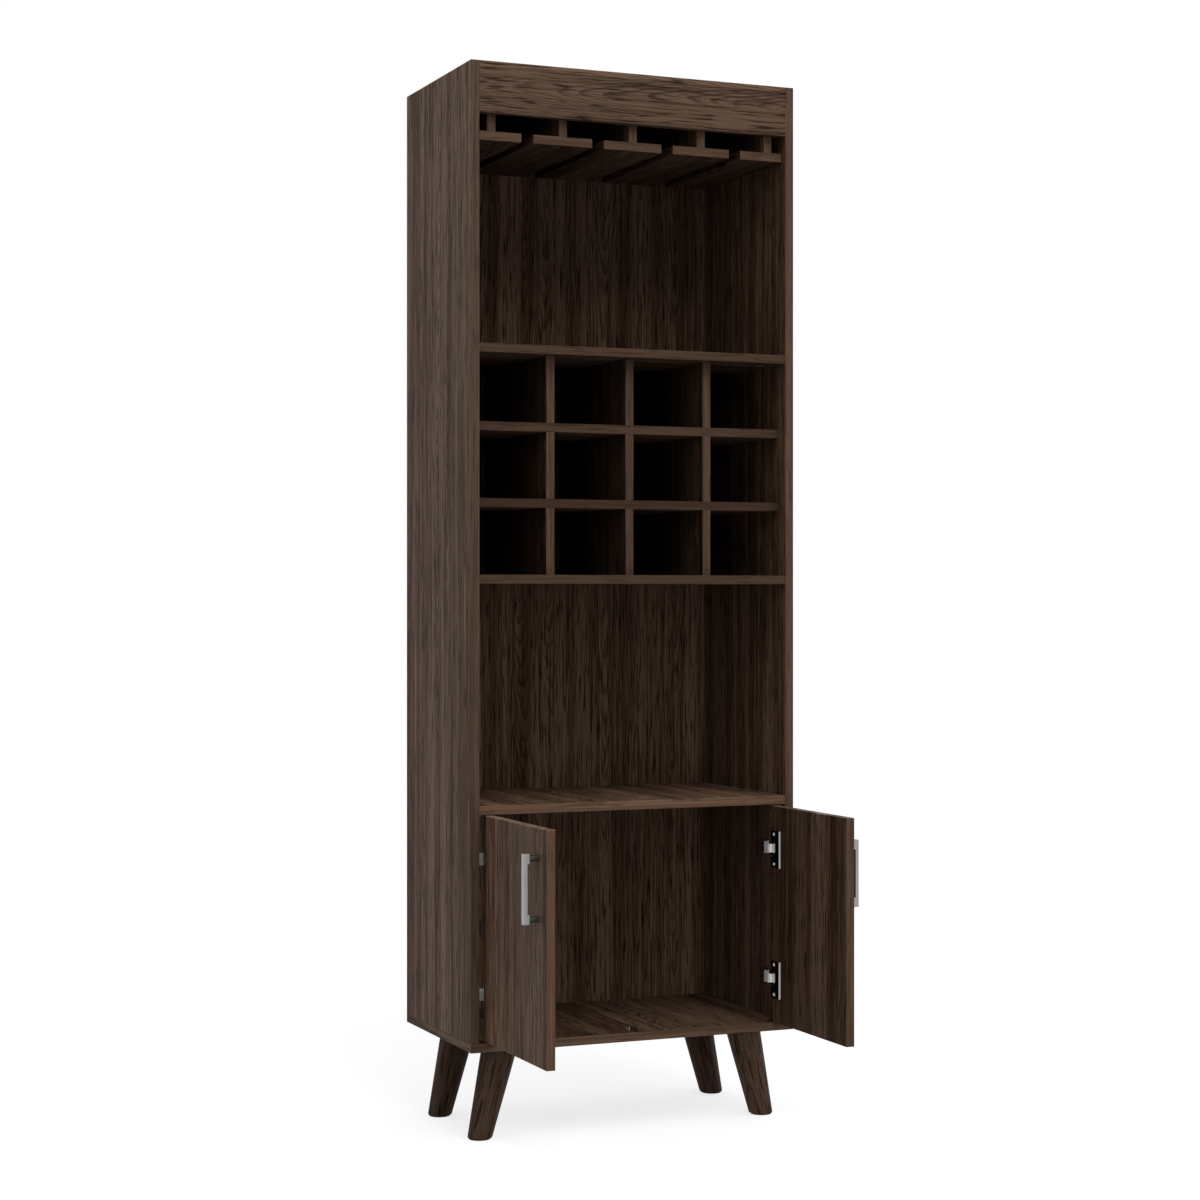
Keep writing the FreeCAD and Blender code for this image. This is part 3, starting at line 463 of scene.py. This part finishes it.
def reface(material, axis, sign, limit, low, high, waves):
    """Change to a mottled colour from low to high past the limit."""
    def change(tree, past, common):
        spots = noise(tree, own_place(tree), (waves, waves, waves), *MOTTLE_NOISE)
        mottle = ramp(tree, spots, *SPANS["mottle"])
        return blend(tree, past, common, blend(tree, mottle, opaque(low), opaque(high)))

    return recolour(material, axis, sign, limit, change)


def retone(material, axis, sign, limit, share):
    """Multiply the colour by a share of each primary past the limit."""
    def change(tree, past, common):
        return blend(tree, past, common, opaque(share), "MULTIPLY")

    return recolour(material, axis, sign, limit, change)


def skin(name, grids, material, body, replaced=()):
    """Skin grids of points [copy, ring, around, 3].

    Quads join each ring to the next, and a fan joins each end ring to its middle.
    """
    copies, rings, around, _ = grids.shape
    index = np.arange(copies * rings * around).reshape(copies, rings, around)
    beside = np.roll(index, -1, axis=2)
    quads = np.stack([index[:, :-1], beside[:, :-1], beside[:, 1:], index[:, 1:]], axis=-1)
    tips = index.size + np.arange(2 * copies).reshape(copies, 2, 1)
    tips = np.broadcast_to(tips, (copies, 2, around))
    first = np.stack([beside[:, 0], index[:, 0], tips[:, 0]], axis=-1)
    last = np.stack([index[:, -1], beside[:, -1], tips[:, 1]], axis=-1)
    middles = grids[:, [0, -1]].mean(axis=2)
    points = np.concatenate([grids.reshape(-1, 3), middles.reshape(-1, 3)])
    faces = [face for part in (quads, first, last)
             for face in part.reshape(-1, part.shape[-1]).tolist()]
    mesh = bpy.data.meshes.new(name)
    mesh.from_pydata(points.tolist(), [], faces)
    mesh.shade_smooth()
    mesh.set_sharp_from_angle(angle=math.radians(CREASE))
    mesh.materials.append(material)
    piece = bpy.data.objects.new(name, mesh)
    bpy.context.scene.collection.objects.link(piece)
    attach(piece, body)
    if replaced:
        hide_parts(*replaced)
    return points, mesh


def leg_grid(foot, head, foot_radius, head_radius, easing):
    """A taper with level ends.

    Ring centres and radii run straight from foot to head with the height, and at the foot the
    radius is less by easing * (1 - sin a) at the height easing * (1 - cos a), a quarter round.
    """
    turn = np.linspace(0.0, math.pi / 2, EASING_RINGS)
    taper = np.linspace(easing, head[2] - foot[2], TAPER_RINGS)[1:]
    heights = foot[2] + np.concatenate([easing * (1.0 - np.cos(turn)), taper])
    share = (heights - foot[2]) / (head[2] - foot[2])
    radius = foot_radius + (head_radius - foot_radius) * share
    radius[:turn.size] -= easing * (1.0 - np.sin(turn))
    angle = np.linspace(0.0, 2.0 * math.pi, LEG_AROUND, endpoint=False)
    circle = np.stack([np.cos(angle), np.sin(angle), np.zeros_like(angle)], axis=-1)
    centre = foot + share[:, None] * (head - foot)
    return (centre[:, None] + radius[:, None, None] * circle)[None]


def screw_grid(spots, outward, radius, shank, cone, length, proud=0.0, crown=0.0):
    """Countersunk screws with a cross recess.

    Each is a profile of rings turned about its axis, from the tip up the shank and the cone to the
    rim and then inwards over the head, where the surface rises by crown * (1 - (ring / radius)^2)
    and sinks by a smooth cross: near both axes, within its reach.
    """
    spots, outward = np.asarray(spots), np.asarray(outward, dtype=float)
    level = abs(outward[2]) < 0.5
    side = np.array([0.0, 0.0, 1.0]) if level else np.array([1.0, 0.0, 0.0])
    third = np.cross(outward, side)
    inner = radius * np.linspace(HEAD_OUTER, HEAD_INNER, HEAD_RINGS)
    rings = np.concatenate([[shank, shank, radius, radius], inner])
    body = [-length, -cone, -RIM_LOW * radius, -RIM_HIGH * radius]
    depth = np.concatenate([body, crown * (1.0 - (inner / radius) ** 2)])
    angle = np.linspace(0.0, 2.0 * math.pi, SCREW_AROUND, endpoint=False)
    turned = angle + SCREW_TURN * np.arange(len(spots))[:, None, None]
    x, y = abs(rings[:, None] * np.cos(angle)), abs(rings[:, None] * np.sin(angle))
    near, far = np.minimum(x, y) / radius, np.maximum(x, y) / radius
    cross = (np.clip((CROSS_WIDTH - near) / CROSS_SIDE, 0.0, 1.0)
             * np.clip((CROSS_REACH - far) / CROSS_END, 0.0, 1.0))
    cross[:BODY_RINGS] = 0.0
    lift = proud + depth[:, None] - CROSS_DEPTH * radius * cross * (1.0 - CROSS_RISE * far)
    facing = np.cos(turned)[..., None] * side + np.sin(turned)[..., None] * third
    return spots[:, None, None] + rings[:, None, None] * facing + lift[..., None] * outward


def bead_grid(outline, low, high):
    """An upright bead: an outline of (x, y) points, counter-clockwise, drawn from low to high."""
    return np.stack([np.insert(outline, 2, height, axis=-1) for height in (low, high)])[None]


def dress(node, material):
    """Give a CAD node one material."""
    slots = NODES[node].data.materials
    slots.clear()
    slots.append(material)


class ArmoireWood(bpy.types.PropertyGroup):
    light: bpy.props.FloatVectorProperty(
        name="Light grain", description="Pale early wood", subtype="COLOR",
        default=(0.152, 0.0935, 0.0625))
    middle: bpy.props.FloatVectorProperty(
        name="Middle grain", description="Main tone of the veneer", subtype="COLOR",
        default=(0.056, 0.0305, 0.0178))
    dark: bpy.props.FloatVectorProperty(
        name="Dark grain", description="Late wood lines and pores", subtype="COLOR",
        default=(0.009, 0.0045, 0.0022))
    leaf: bpy.props.FloatProperty(
        name="Leaf width", description="Width of one leaf of veneer", default=0.08, unit="LENGTH")
    crown_length: bpy.props.FloatProperty(
        name="Crown length", description="Ring spacing along the grain", default=0.045,
        unit="LENGTH")
    crown_width: bpy.props.FloatProperty(
        name="Crown width", description="Half width of the innermost flame", default=0.013,
        unit="LENGTH")
    streak: bpy.props.FloatProperty(
        name="Streaks", description="Strength of the long streaks", default=0.9, min=0.0, max=1.0)
    ring: bpy.props.FloatProperty(
        name="Rings", description="Strength of the growth rings", default=0.62, min=0.0, max=1.0)
    polish: bpy.props.FloatProperty(
        name="Polish", description="Strength of the reflection on the veneer", default=0.045,
        min=0.0, max=1.0)
    back_share: bpy.props.FloatProperty(
        name="Back tone", description="Tone of the back panel as a share of the boards",
        default=0.85, min=0.0)
    # The doors' top bands are paler by these shares, a painted highlight where the light from above
    # falls on them.
    door_top_painted_light: bpy.props.FloatVectorProperty(
        name="Door top tone", description="Tone of the doors' top bands as shares of the doors",
        subtype="COLOR", default=(1.95, 2.1, 2.35))
    leg_share: bpy.props.FloatProperty(
        name="Leg tone", description="Tone of the legs as a share of the boards", default=0.52,
        min=0.0)


class ArmoireLegs(bpy.types.PropertyGroup):
    foot_radius: bpy.props.FloatProperty(
        name="Foot radius", description="Radius of a leg at its foot", default=0.020877,
        unit="LENGTH")
    easing: bpy.props.FloatProperty(
        name="Foot easing", description="Rounding of a leg's foot", default=0.003, unit="LENGTH")


class ArmoireScrews(bpy.types.PropertyGroup):
    head: bpy.props.FloatProperty(
        name="Head", description="Diameter of a screw head", default=0.007, unit="LENGTH")
    shank: bpy.props.FloatProperty(
        name="Shank", description="Diameter of a screw shank", default=0.0035, unit="LENGTH")
    cone: bpy.props.FloatProperty(
        name="Cone", description="Depth of the countersunk head", default=0.0019, unit="LENGTH")
    length: bpy.props.FloatProperty(
        name="Length", description="Length of a screw", default=0.012, unit="LENGTH")
    cup_pitch: bpy.props.FloatProperty(
        name="Cup screws", description="Spacing of the two screws of a hinge cup", default=0.052,
        unit="LENGTH")
    plate_pitch: bpy.props.FloatProperty(
        name="Plate screws", description="Spacing of the two screws of a hinge plate",
        default=0.032, unit="LENGTH")
    adjuster: bpy.props.FloatProperty(
        name="Adjuster", description="Head of an adjusting screw", default=0.006, unit="LENGTH")
    arm_sheet: bpy.props.FloatProperty(
        name="Arm sheet", description="Thickness of a hinge arm", default=0.004, unit="LENGTH")
    arm_height: bpy.props.FloatProperty(
        name="Arm height", description="Height of a hinge arm", default=0.02, unit="LENGTH")
    crown: bpy.props.FloatProperty(
        name="Crown", description="Rise of the domed head of a cup screw", default=0.0014,
        unit="LENGTH")
    flange_height: bpy.props.FloatProperty(
        name="Flange height", description="Height of the flange of a hinge cup", default=0.064,
        unit="LENGTH")


class ArmoireMetal(bpy.types.PropertyGroup):
    handle: bpy.props.FloatVectorProperty(
        name="Handle tone", description="Satin nickel of the handles", subtype="COLOR",
        default=(0.37, 0.36, 0.35))
    hinge: bpy.props.FloatVectorProperty(
        name="Hinge tone", description="Mirror plating of the hinge plates, arms and rims",
        subtype="COLOR", default=(0.34, 0.34, 0.33))
    # This bright zinc is a painted highlight on the hinge links and the arms' noses where they face
    # the front.
    zinc_painted_highlight: bpy.props.FloatVectorProperty(
        name="Zinc tone", description="Bright zinc of the hinge links and the arms' noses",
        subtype="COLOR", default=(0.85, 0.85, 0.84))
    # The posts' dark plating is painted shade, darker than the handle where the posts lie in shade.
    post: bpy.props.FloatVectorProperty(
        name="Post tone", description="Dark plating of the handle posts", subtype="COLOR",
        default=(0.08, 0.09, 0.077))
    # The cups' dark plating is painted shade, darker than the other plating where they lie in shade
    # inside the door.
    cup: bpy.props.FloatVectorProperty(
        name="Cup tone", description="Dark plating of the hinge cups", subtype="COLOR",
        default=(0.07, 0.075, 0.07))
    screw: bpy.props.FloatVectorProperty(
        name="Screw tone", description="Zinc plating of the screws", subtype="COLOR",
        default=(0.85, 0.85, 0.85))


class ArmoireStudio(bpy.types.PropertyGroup):
    dome: bpy.props.FloatProperty(
        name="Dome", description="Strength of the even light all round", default=0.79, min=0.0)
    key: bpy.props.FloatProperty(
        name="Key light", description="Power of the soft lamp above the front", default=115.0,
        min=0.0, unit="POWER")
    key_reach: bpy.props.FloatProperty(
        name="Key reach", description="Distance from the lamp to the cabinet's middle",
        default=4.84, unit="LENGTH")
    key_rise: bpy.props.FloatProperty(
        name="Key rise", description="Angle of the lamp above the level", subtype="ANGLE",
        default=math.radians(54.0))
    fill: bpy.props.FloatProperty(
        name="Fill light", description="Power of the small lamp before the cupboard", default=3.3,
        min=0.0, unit="POWER")
    fill_place: bpy.props.FloatVectorProperty(
        name="Fill place", description="Place of the small lamp", subtype="TRANSLATION",
        unit="LENGTH", default=(0.0, -1.3, 0.42))
    floor_shade: bpy.props.FloatProperty(
        name="Floor shade", description="Share of the floor's white that the light makes",
        default=0.35, min=0.0, max=1.0)
    lens: bpy.props.FloatProperty(
        name="Lens", description="Focal length of the camera in millimetres", default=74.06)
    camera: bpy.props.FloatVectorProperty(
        name="Camera", description="Place of the camera", subtype="TRANSLATION", unit="LENGTH",
        default=(-1.697, -4.023, 0.912))
    yaw: bpy.props.FloatProperty(
        name="Yaw", description="Turn of the camera about the upright", subtype="ANGLE",
        default=math.radians(-22.91))


class ARMOIRE_OT_boards(bpy.types.Operator):
    """Veneer every board, each with its own stretch of the figure"""
    bl_idname = "armoire.boards"
    bl_label = "Veneer boards"

    def execute(self, context):
        wood = context.scene.armoire_wood
        for way, names in BOARDS.items():
            for index, name in enumerate(names):
                low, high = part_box(name)
                front = None if name == "fascia" else low[1] + BAND
                family = next((start for start in FAMILIES if name.startswith(start)), name)
                # The tone carries painted shade inside the rack and under the slats, and painted
                # light on the bar shelf.
                material = walnut("walnut_" + name, way, tuple(BOARD_START + index * BOARD_STEP),
                                  wood, BOARD_TONES_AND_PAINTED_LIGHT.get(family, 1.0), RINGS[way], front)
                # The dividers' and slats' front bands are lifted out of the painted shade of their
                # faces.
                if family in FRONT_SHARES:
                    retone(material, "Y", -1.0, -front, FRONT_SHARES[family])
                if name.endswith("_door"):
                    # Painted highlight: the doors' top bands are made paler where the light from
                    # above falls.
                    retone(material, "Z", 1.0, high[2] - BAND, wood.door_top_painted_light)
                dress(name, material)
        back = walnut("walnut_back_panel", "Z", BACK_START, wood, wood.back_share, RINGS["back"],
                      polish_share=BACK_POLISH)
        reface(back, "Y", 1.0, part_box("back_panel")[1][1] - BAND, *FIBREBOARD)
        dress("back_panel", back)
        return {"FINISHED"}


class ARMOIRE_OT_legs(bpy.types.Operator):
    """Turn the four legs, with their grain along each leg's own line"""
    bl_idname = "armoire.legs"
    bl_label = "Turn legs"

    def execute(self, context):
        wood, sizes = context.scene.armoire_wood, context.scene.armoire_legs
        legs = [(end + side + "_leg", sign) for end in ("front_", "rear_") for side, sign in SIDES]
        for index, (name, sign) in enumerate(legs):
            low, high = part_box(name)
            middle = (low[1] + high[1]) / 2
            near, far = (low[0], high[0]) if sign > 0 else (high[0], low[0])
            head_radius = (high[1] - low[1]) / 2
            head = np.array([near + sign * head_radius, middle, high[2]])
            foot = np.array([far - sign * sizes.foot_radius, middle, low[2]])
            grid = leg_grid(foot, head, sizes.foot_radius, head_radius, sizes.easing)
            material = walnut("walnut_" + name, None, tuple(LEG_START + index * LEG_STEP), wood,
                              wood.leg_share, RINGS["leg"])
            points, mesh = skin("turned_" + name, grid, material, "cabinet", (name,))
            share = ((points[:, 2] - foot[2]) / (head[2] - foot[2]))[:, None]
            grain = points - foot - share * (head - foot)
            grain[:, 2:] = share * np.linalg.norm(head - foot)
            attribute = mesh.attributes.new("grain", "FLOAT_VECTOR", "POINT")
            attribute.data.foreach_set("vector", grain.ravel())
        dress("foot_glides", moulded("black_glide", GLIDE_BLACK))
        return {"FINISHED"}


class ARMOIRE_OT_screws(bpy.types.Operator):
    """Set the cross-headed screws of the hinges and the door stop"""
    bl_idname = "armoire.screws"
    bl_label = "Set screws"

    def execute(self, context):
        sizes = context.scene.armoire_screws
        zinc = metal("screw_zinc", context.scene.armoire_metal.screw, GLOSS["screw"])
        form = (sizes.head / 2, sizes.shank / 2, sizes.cone, sizes.length)
        for side, sign in SIDES:
            node = side + "_cup_screws"
            low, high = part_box(node)
            face = low[0] if sign > 0 else high[0]
            spots = self.column(low, high, face, sizes.head, sizes.cup_pitch)
            grid = screw_grid(spots, (-sign, 0.0, 0.0), *form, crown=sizes.crown)
            skin(side + "_cup_screw_set", grid, zinc, side + "_door_set", (node,))
        low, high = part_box("hinge_plate_screws")
        sets = []
        for _, sign in SIDES:
            face = sign * (high[0] - sizes.length)
            spots = self.column(low, high, face, sizes.head, sizes.plate_pitch)
            sets.append(screw_grid(spots, (-sign, 0.0, 0.0), *form))
        skin("plate_screw_set", np.concatenate(sets), zinc, "cabinet",
             ("hinge_plate_screws",))
        low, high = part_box("stop_screw")
        spots = [((low[0] + high[0]) / 2, (low[1] + high[1]) / 2, high[2])]
        skin("stop_screw_set", screw_grid(spots, (0.0, 0.0, 1.0), *form), zinc, "cabinet",
             ("stop_screw",))
        return {"FINISHED"}

    def column(self, low, high, face, head, pitch):
        """Places of four screws in a column, two to a hinge, between the ends of their box."""
        middle = (low[1] + high[1]) / 2
        lowest, highest = low[2] + head / 2, high[2] - head / 2
        return [(face, middle, z) for z in (lowest, lowest + pitch, highest - pitch, highest)]


class ARMOIRE_OT_handles(bpy.types.Operator):
    """Plate the handles and their posts"""
    bl_idname = "armoire.handles"
    bl_label = "Plate handles"

    def execute(self, context):
        tones = context.scene.armoire_metal
        nickel = metal("satin_nickel", tones.handle, GLOSS["handle"])
        # The posts' near-black plating is painted shade on them.
        dark = metal("post_painted_shade", tones.post, GLOSS["post"])
        for side, _ in SIDES:
            dress(side + "_handle", nickel)
            dress(side + "_handle_posts", dark)
        return {"FINISHED"}


class ARMOIRE_OT_hinges(bpy.types.Operator):
    """Plate the hinges, and set the adjusting screws into their arms"""
    bl_idname = "armoire.hinges"
    bl_label = "Plate hinges"

    def execute(self, context):
        tones, sizes = context.scene.armoire_metal, context.scene.armoire_screws
        mirror = metal("mirror_plating", tones.hinge, GLOSS["mirror"])
        # The cups' near-black plating is painted shade in place of their dark reflections.
        dark = metal("cup_painted_shade", tones.cup, GLOSS["dark"])
        # Bright zinc on the links and the arms' noses is a painted highlight where they face the
        # front.
        zinc = metal("painted_highlight_zinc", tones.zinc_painted_highlight, GLOSS["zinc"], ZINC_METALLIC)
        for side, sign in SIDES:
            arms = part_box(side + "_hinge_arms")
            plated = self.plate_arms(side + "_arms_painted_highlight", tones, arms[0][1] + ARM_NOSE)
            for piece, material in (("_cup_pins", mirror), ("_hinge_plates", mirror),
                                    ("_hinge_cups", dark), ("_hinge_arms", plated),
                                    ("_hinge_links", zinc)):
                dress(side + piece, material)
            rims = self.rim_grids(side, sign, sizes.flange_height)
            skin(side + "_cup_rims", rims, mirror, side + "_door_set")
            screws = self.adjuster_grid(arms, sign, sizes)
            skin(side + "_adjusting_screws", screws, mirror, "cabinet")
        dress("hinge_arm_pins", mirror)
        return {"FINISHED"}

    def plate_arms(self, name, tones, nose):
        """Mirror plating that is bright zinc before the plane Y = nose, a painted highlight on the
        arm's front end.
        """
        plated = metal(name, tones.hinge, GLOSS["mirror"])
        tree, shader, past = reface(plated, "Y", -1.0, -nose, tones.zinc_painted_highlight * ZINC_DARKER,
                                    tones.zinc_painted_highlight, ZINC_WAVES)
        metallic = calc(tree, "MULTIPLY_ADD", past, ZINC_METALLIC - 1.0, 1.0)
        tree.links.new(metallic, shader.inputs["Metallic"])
        return plated

    def rim_grids(self, side, sign, height):
        """The rim's outline set against the door's inner face, drawn up both hinge flanges."""
        low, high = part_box(side + "_hinge_cups")
        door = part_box(side + "_door")
        face = door[0][0] if sign > 0 else door[1][0]
        outline = np.array([face, low[1]]) - RIM_PROFILE * np.array([sign, 1.0])
        outline = outline[::-1] if sign > 0 else outline
        spans = ((low[2], low[2] + height), (high[2] - height, high[2]))
        return np.concatenate([bead_grid(outline, *span) for span in spans])

    def adjuster_grid(self, arms, sign, sizes):
        """Two shallow screws on the inner face of each arm, at half its height."""
        low, high = arms
        face = sign * (max(abs(low[0]), abs(high[0])) - sizes.arm_sheet)
        half = sizes.arm_height / 2
        spots = [(face, high[1] - inset, z) for inset in ADJUSTER_INSETS
                 for z in (low[2] + half, high[2] - half)]
        return screw_grid(spots, (-sign, 0.0, 0.0), sizes.adjuster / 2, sizes.shank / 2,
                          ADJUSTER_CONE, ADJUSTER_LENGTH, ADJUSTER_PROUD)


class ARMOIRE_OT_fixings(bpy.types.Operator):
    """Finish the door stop and the fixings inside the boards"""
    bl_idname = "armoire.fixings"
    bl_label = "Finish fixings"

    def execute(self, context):
        wood = context.scene.armoire_wood
        zinc = metal("fixing_zinc", context.scene.armoire_metal.screw, GLOSS["fixing"])
        for name in ("cam_bolts", "cam_locks", "base_screws", "back_nails", "leg_bolts",
                     "leg_nuts"):
            dress(name, zinc)
        dress("dowels", walnut("raw_beech", "own", NO_SHIFT, wood, BEECH_TONE, BEECH_RING))
        stop = moulded("dark_stop", STOP_BLACK)
        # Painted light: the stop's left cheek is made pale where the light falls on it.
        reface(stop, "X", -1.0, -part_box("door_stop")[0][0] - BAND, *STOP_CHEEK_PAINTED_LIGHT)
        dress("door_stop", stop)
        return {"FINISHED"}


class ARMOIRE_OT_stage(bpy.types.Operator):
    """Lay the floor and set the light and the camera"""
    bl_idname = "armoire.stage"
    bl_label = "Set stage"

    def execute(self, context):
        studio = context.scene.armoire_studio
        context.scene.view_settings.view_transform = "Standard"
        self.lay_floor(studio.floor_shade, studio.dome)
        self.raise_dome(context.scene, studio.dome)
        self.hang_lamps(context.scene, studio)
        self.set_camera(context.scene, studio)
        return {"FINISHED"}

    def lay_floor(self, shade, dome):
        """A wide flat sheet just under the feet.

        It is part lit, and for rays that see it a glow adds what the dome's light lacks of white.
        """
        corners = np.array([[-1.0, -1.0], [1.0, -1.0], [1.0, 1.0], [-1.0, 1.0]]) * FLOOR_REACH
        points = np.insert(corners, 2, -FLOOR_DEPTH, axis=1)
        mesh = bpy.data.meshes.new("floor")
        mesh.from_pydata(points.tolist(), [], [(0, 1, 2, 3)])
        material = bpy.data.materials.new("pale_floor")
        material.use_nodes = True
        tree = material.node_tree
        tree.nodes.clear()
        lit = put(tree, "ShaderNodeBsdfDiffuse", {"Color": (shade, shade, shade, 1.0)})
        strength = calc(tree, "MULTIPLY", seen_rays(tree), 1.0 - shade * dome)
        even = put(tree, "ShaderNodeEmission", {"Color": WHITE, "Strength": strength})
        both = put(tree, "ShaderNodeAddShader", (lit.outputs[0], even.outputs[0]))
        put(tree, "ShaderNodeOutputMaterial", (both.outputs[0],))
        mesh.materials.append(material)
        floor = bpy.data.objects.new("floor", mesh)
        bpy.context.scene.collection.objects.link(floor)

    def raise_dome(self, scene, dome):
        """A white sky that lights with the dome's strength and is seen at full white."""
        world = bpy.data.worlds.new("even_dome")
        world.use_nodes = True
        tree = world.node_tree
        tree.nodes.clear()
        strength = blend(tree, seen_rays(tree), dome, 1.0, kind="FLOAT")
        sky = put(tree, "ShaderNodeBackground", {"Color": WHITE, "Strength": strength})
        put(tree, "ShaderNodeOutputWorld", (sky.outputs[0],))
        scene.world = world

    def hang_lamps(self, scene, studio):
        """A soft lamp above the front, and a small one before the cupboard that nothing mirrors."""
        key_place = (0.0, -studio.key_reach * math.cos(studio.key_rise),
                     AIM_HEIGHT + studio.key_reach * math.sin(studio.key_rise))
        for name, power, size, place, rise in (
                ("key", studio.key, KEY_SIZE, key_place, studio.key_rise),
                ("fill", studio.fill, FILL_SIZE, studio.fill_place, 0.0)):
            lamp = bpy.data.lights.new(name, "AREA")
            lamp.shape = "RECTANGLE"
            lamp.size, lamp.size_y = size
            lamp.energy = power
            hung = bpy.data.objects.new(name, lamp)
            hung.visible_glossy = name == "key"
            hung.location = place
            hung.rotation_euler = (math.pi / 2 - rise, 0.0, 0.0)
            scene.collection.objects.link(hung)

    def set_camera(self, scene, studio):
        """A level camera, turned about the upright."""
        camera = bpy.data.objects.new("camera", bpy.data.cameras.new("camera"))
        camera.data.lens = studio.lens
        camera.data.sensor_width = SENSOR
        camera.data.shift_y = -SHIFT_PIXELS / PICTURE_PIXELS
        camera.data.clip_end = VIEW_END
        camera.location = studio.camera
        camera.rotation_euler = (math.pi / 2, 0.0, studio.yaw)
        scene.collection.objects.link(camera)
        scene.camera = camera


class ARMOIRE_PT_panel(bpy.types.Panel):
    bl_label = "Bar Armoire"
    bl_idname = "ARMOIRE_PT_panel"
    bl_space_type = "VIEW_3D"
    bl_region_type = "UI"
    bl_category = "Bar Armoire"

    def draw(self, context):
        for operator in OPERATORS:
            self.layout.operator(operator.bl_idname)
        for group in GROUPS:
            settings = getattr(context.scene, group)
            for name in settings.bl_rna.properties.keys():
                if name not in ("rna_type", "name"):
                    self.layout.prop(settings, name)


GROUPS = {"armoire_wood": ArmoireWood, "armoire_legs": ArmoireLegs, "armoire_screws": ArmoireScrews,
          "armoire_metal": ArmoireMetal, "armoire_studio": ArmoireStudio}
OPERATORS = (ARMOIRE_OT_boards, ARMOIRE_OT_legs, ARMOIRE_OT_screws, ARMOIRE_OT_handles,
             ARMOIRE_OT_hinges, ARMOIRE_OT_fixings, ARMOIRE_OT_stage)
CLASSES = (*GROUPS.values(), *OPERATORS, ARMOIRE_PT_panel)


def register():
    for kind in CLASSES:
        bpy.utils.register_class(kind)
    for name, kind in GROUPS.items():
        setattr(bpy.types.Scene, name, bpy.props.PointerProperty(type=kind))


def unregister():
    for name in GROUPS:
        delattr(bpy.types.Scene, name)
    for kind in reversed(CLASSES):
        bpy.utils.unregister_class(kind)


def main():
    register()
    bpy.ops.armoire.boards()
    bpy.ops.armoire.legs()
    bpy.ops.armoire.screws()
    bpy.ops.armoire.handles()
    bpy.ops.armoire.hinges()
    bpy.ops.armoire.fixings()
    bpy.ops.armoire.stage()


if __name__ == "__main__":
    main()
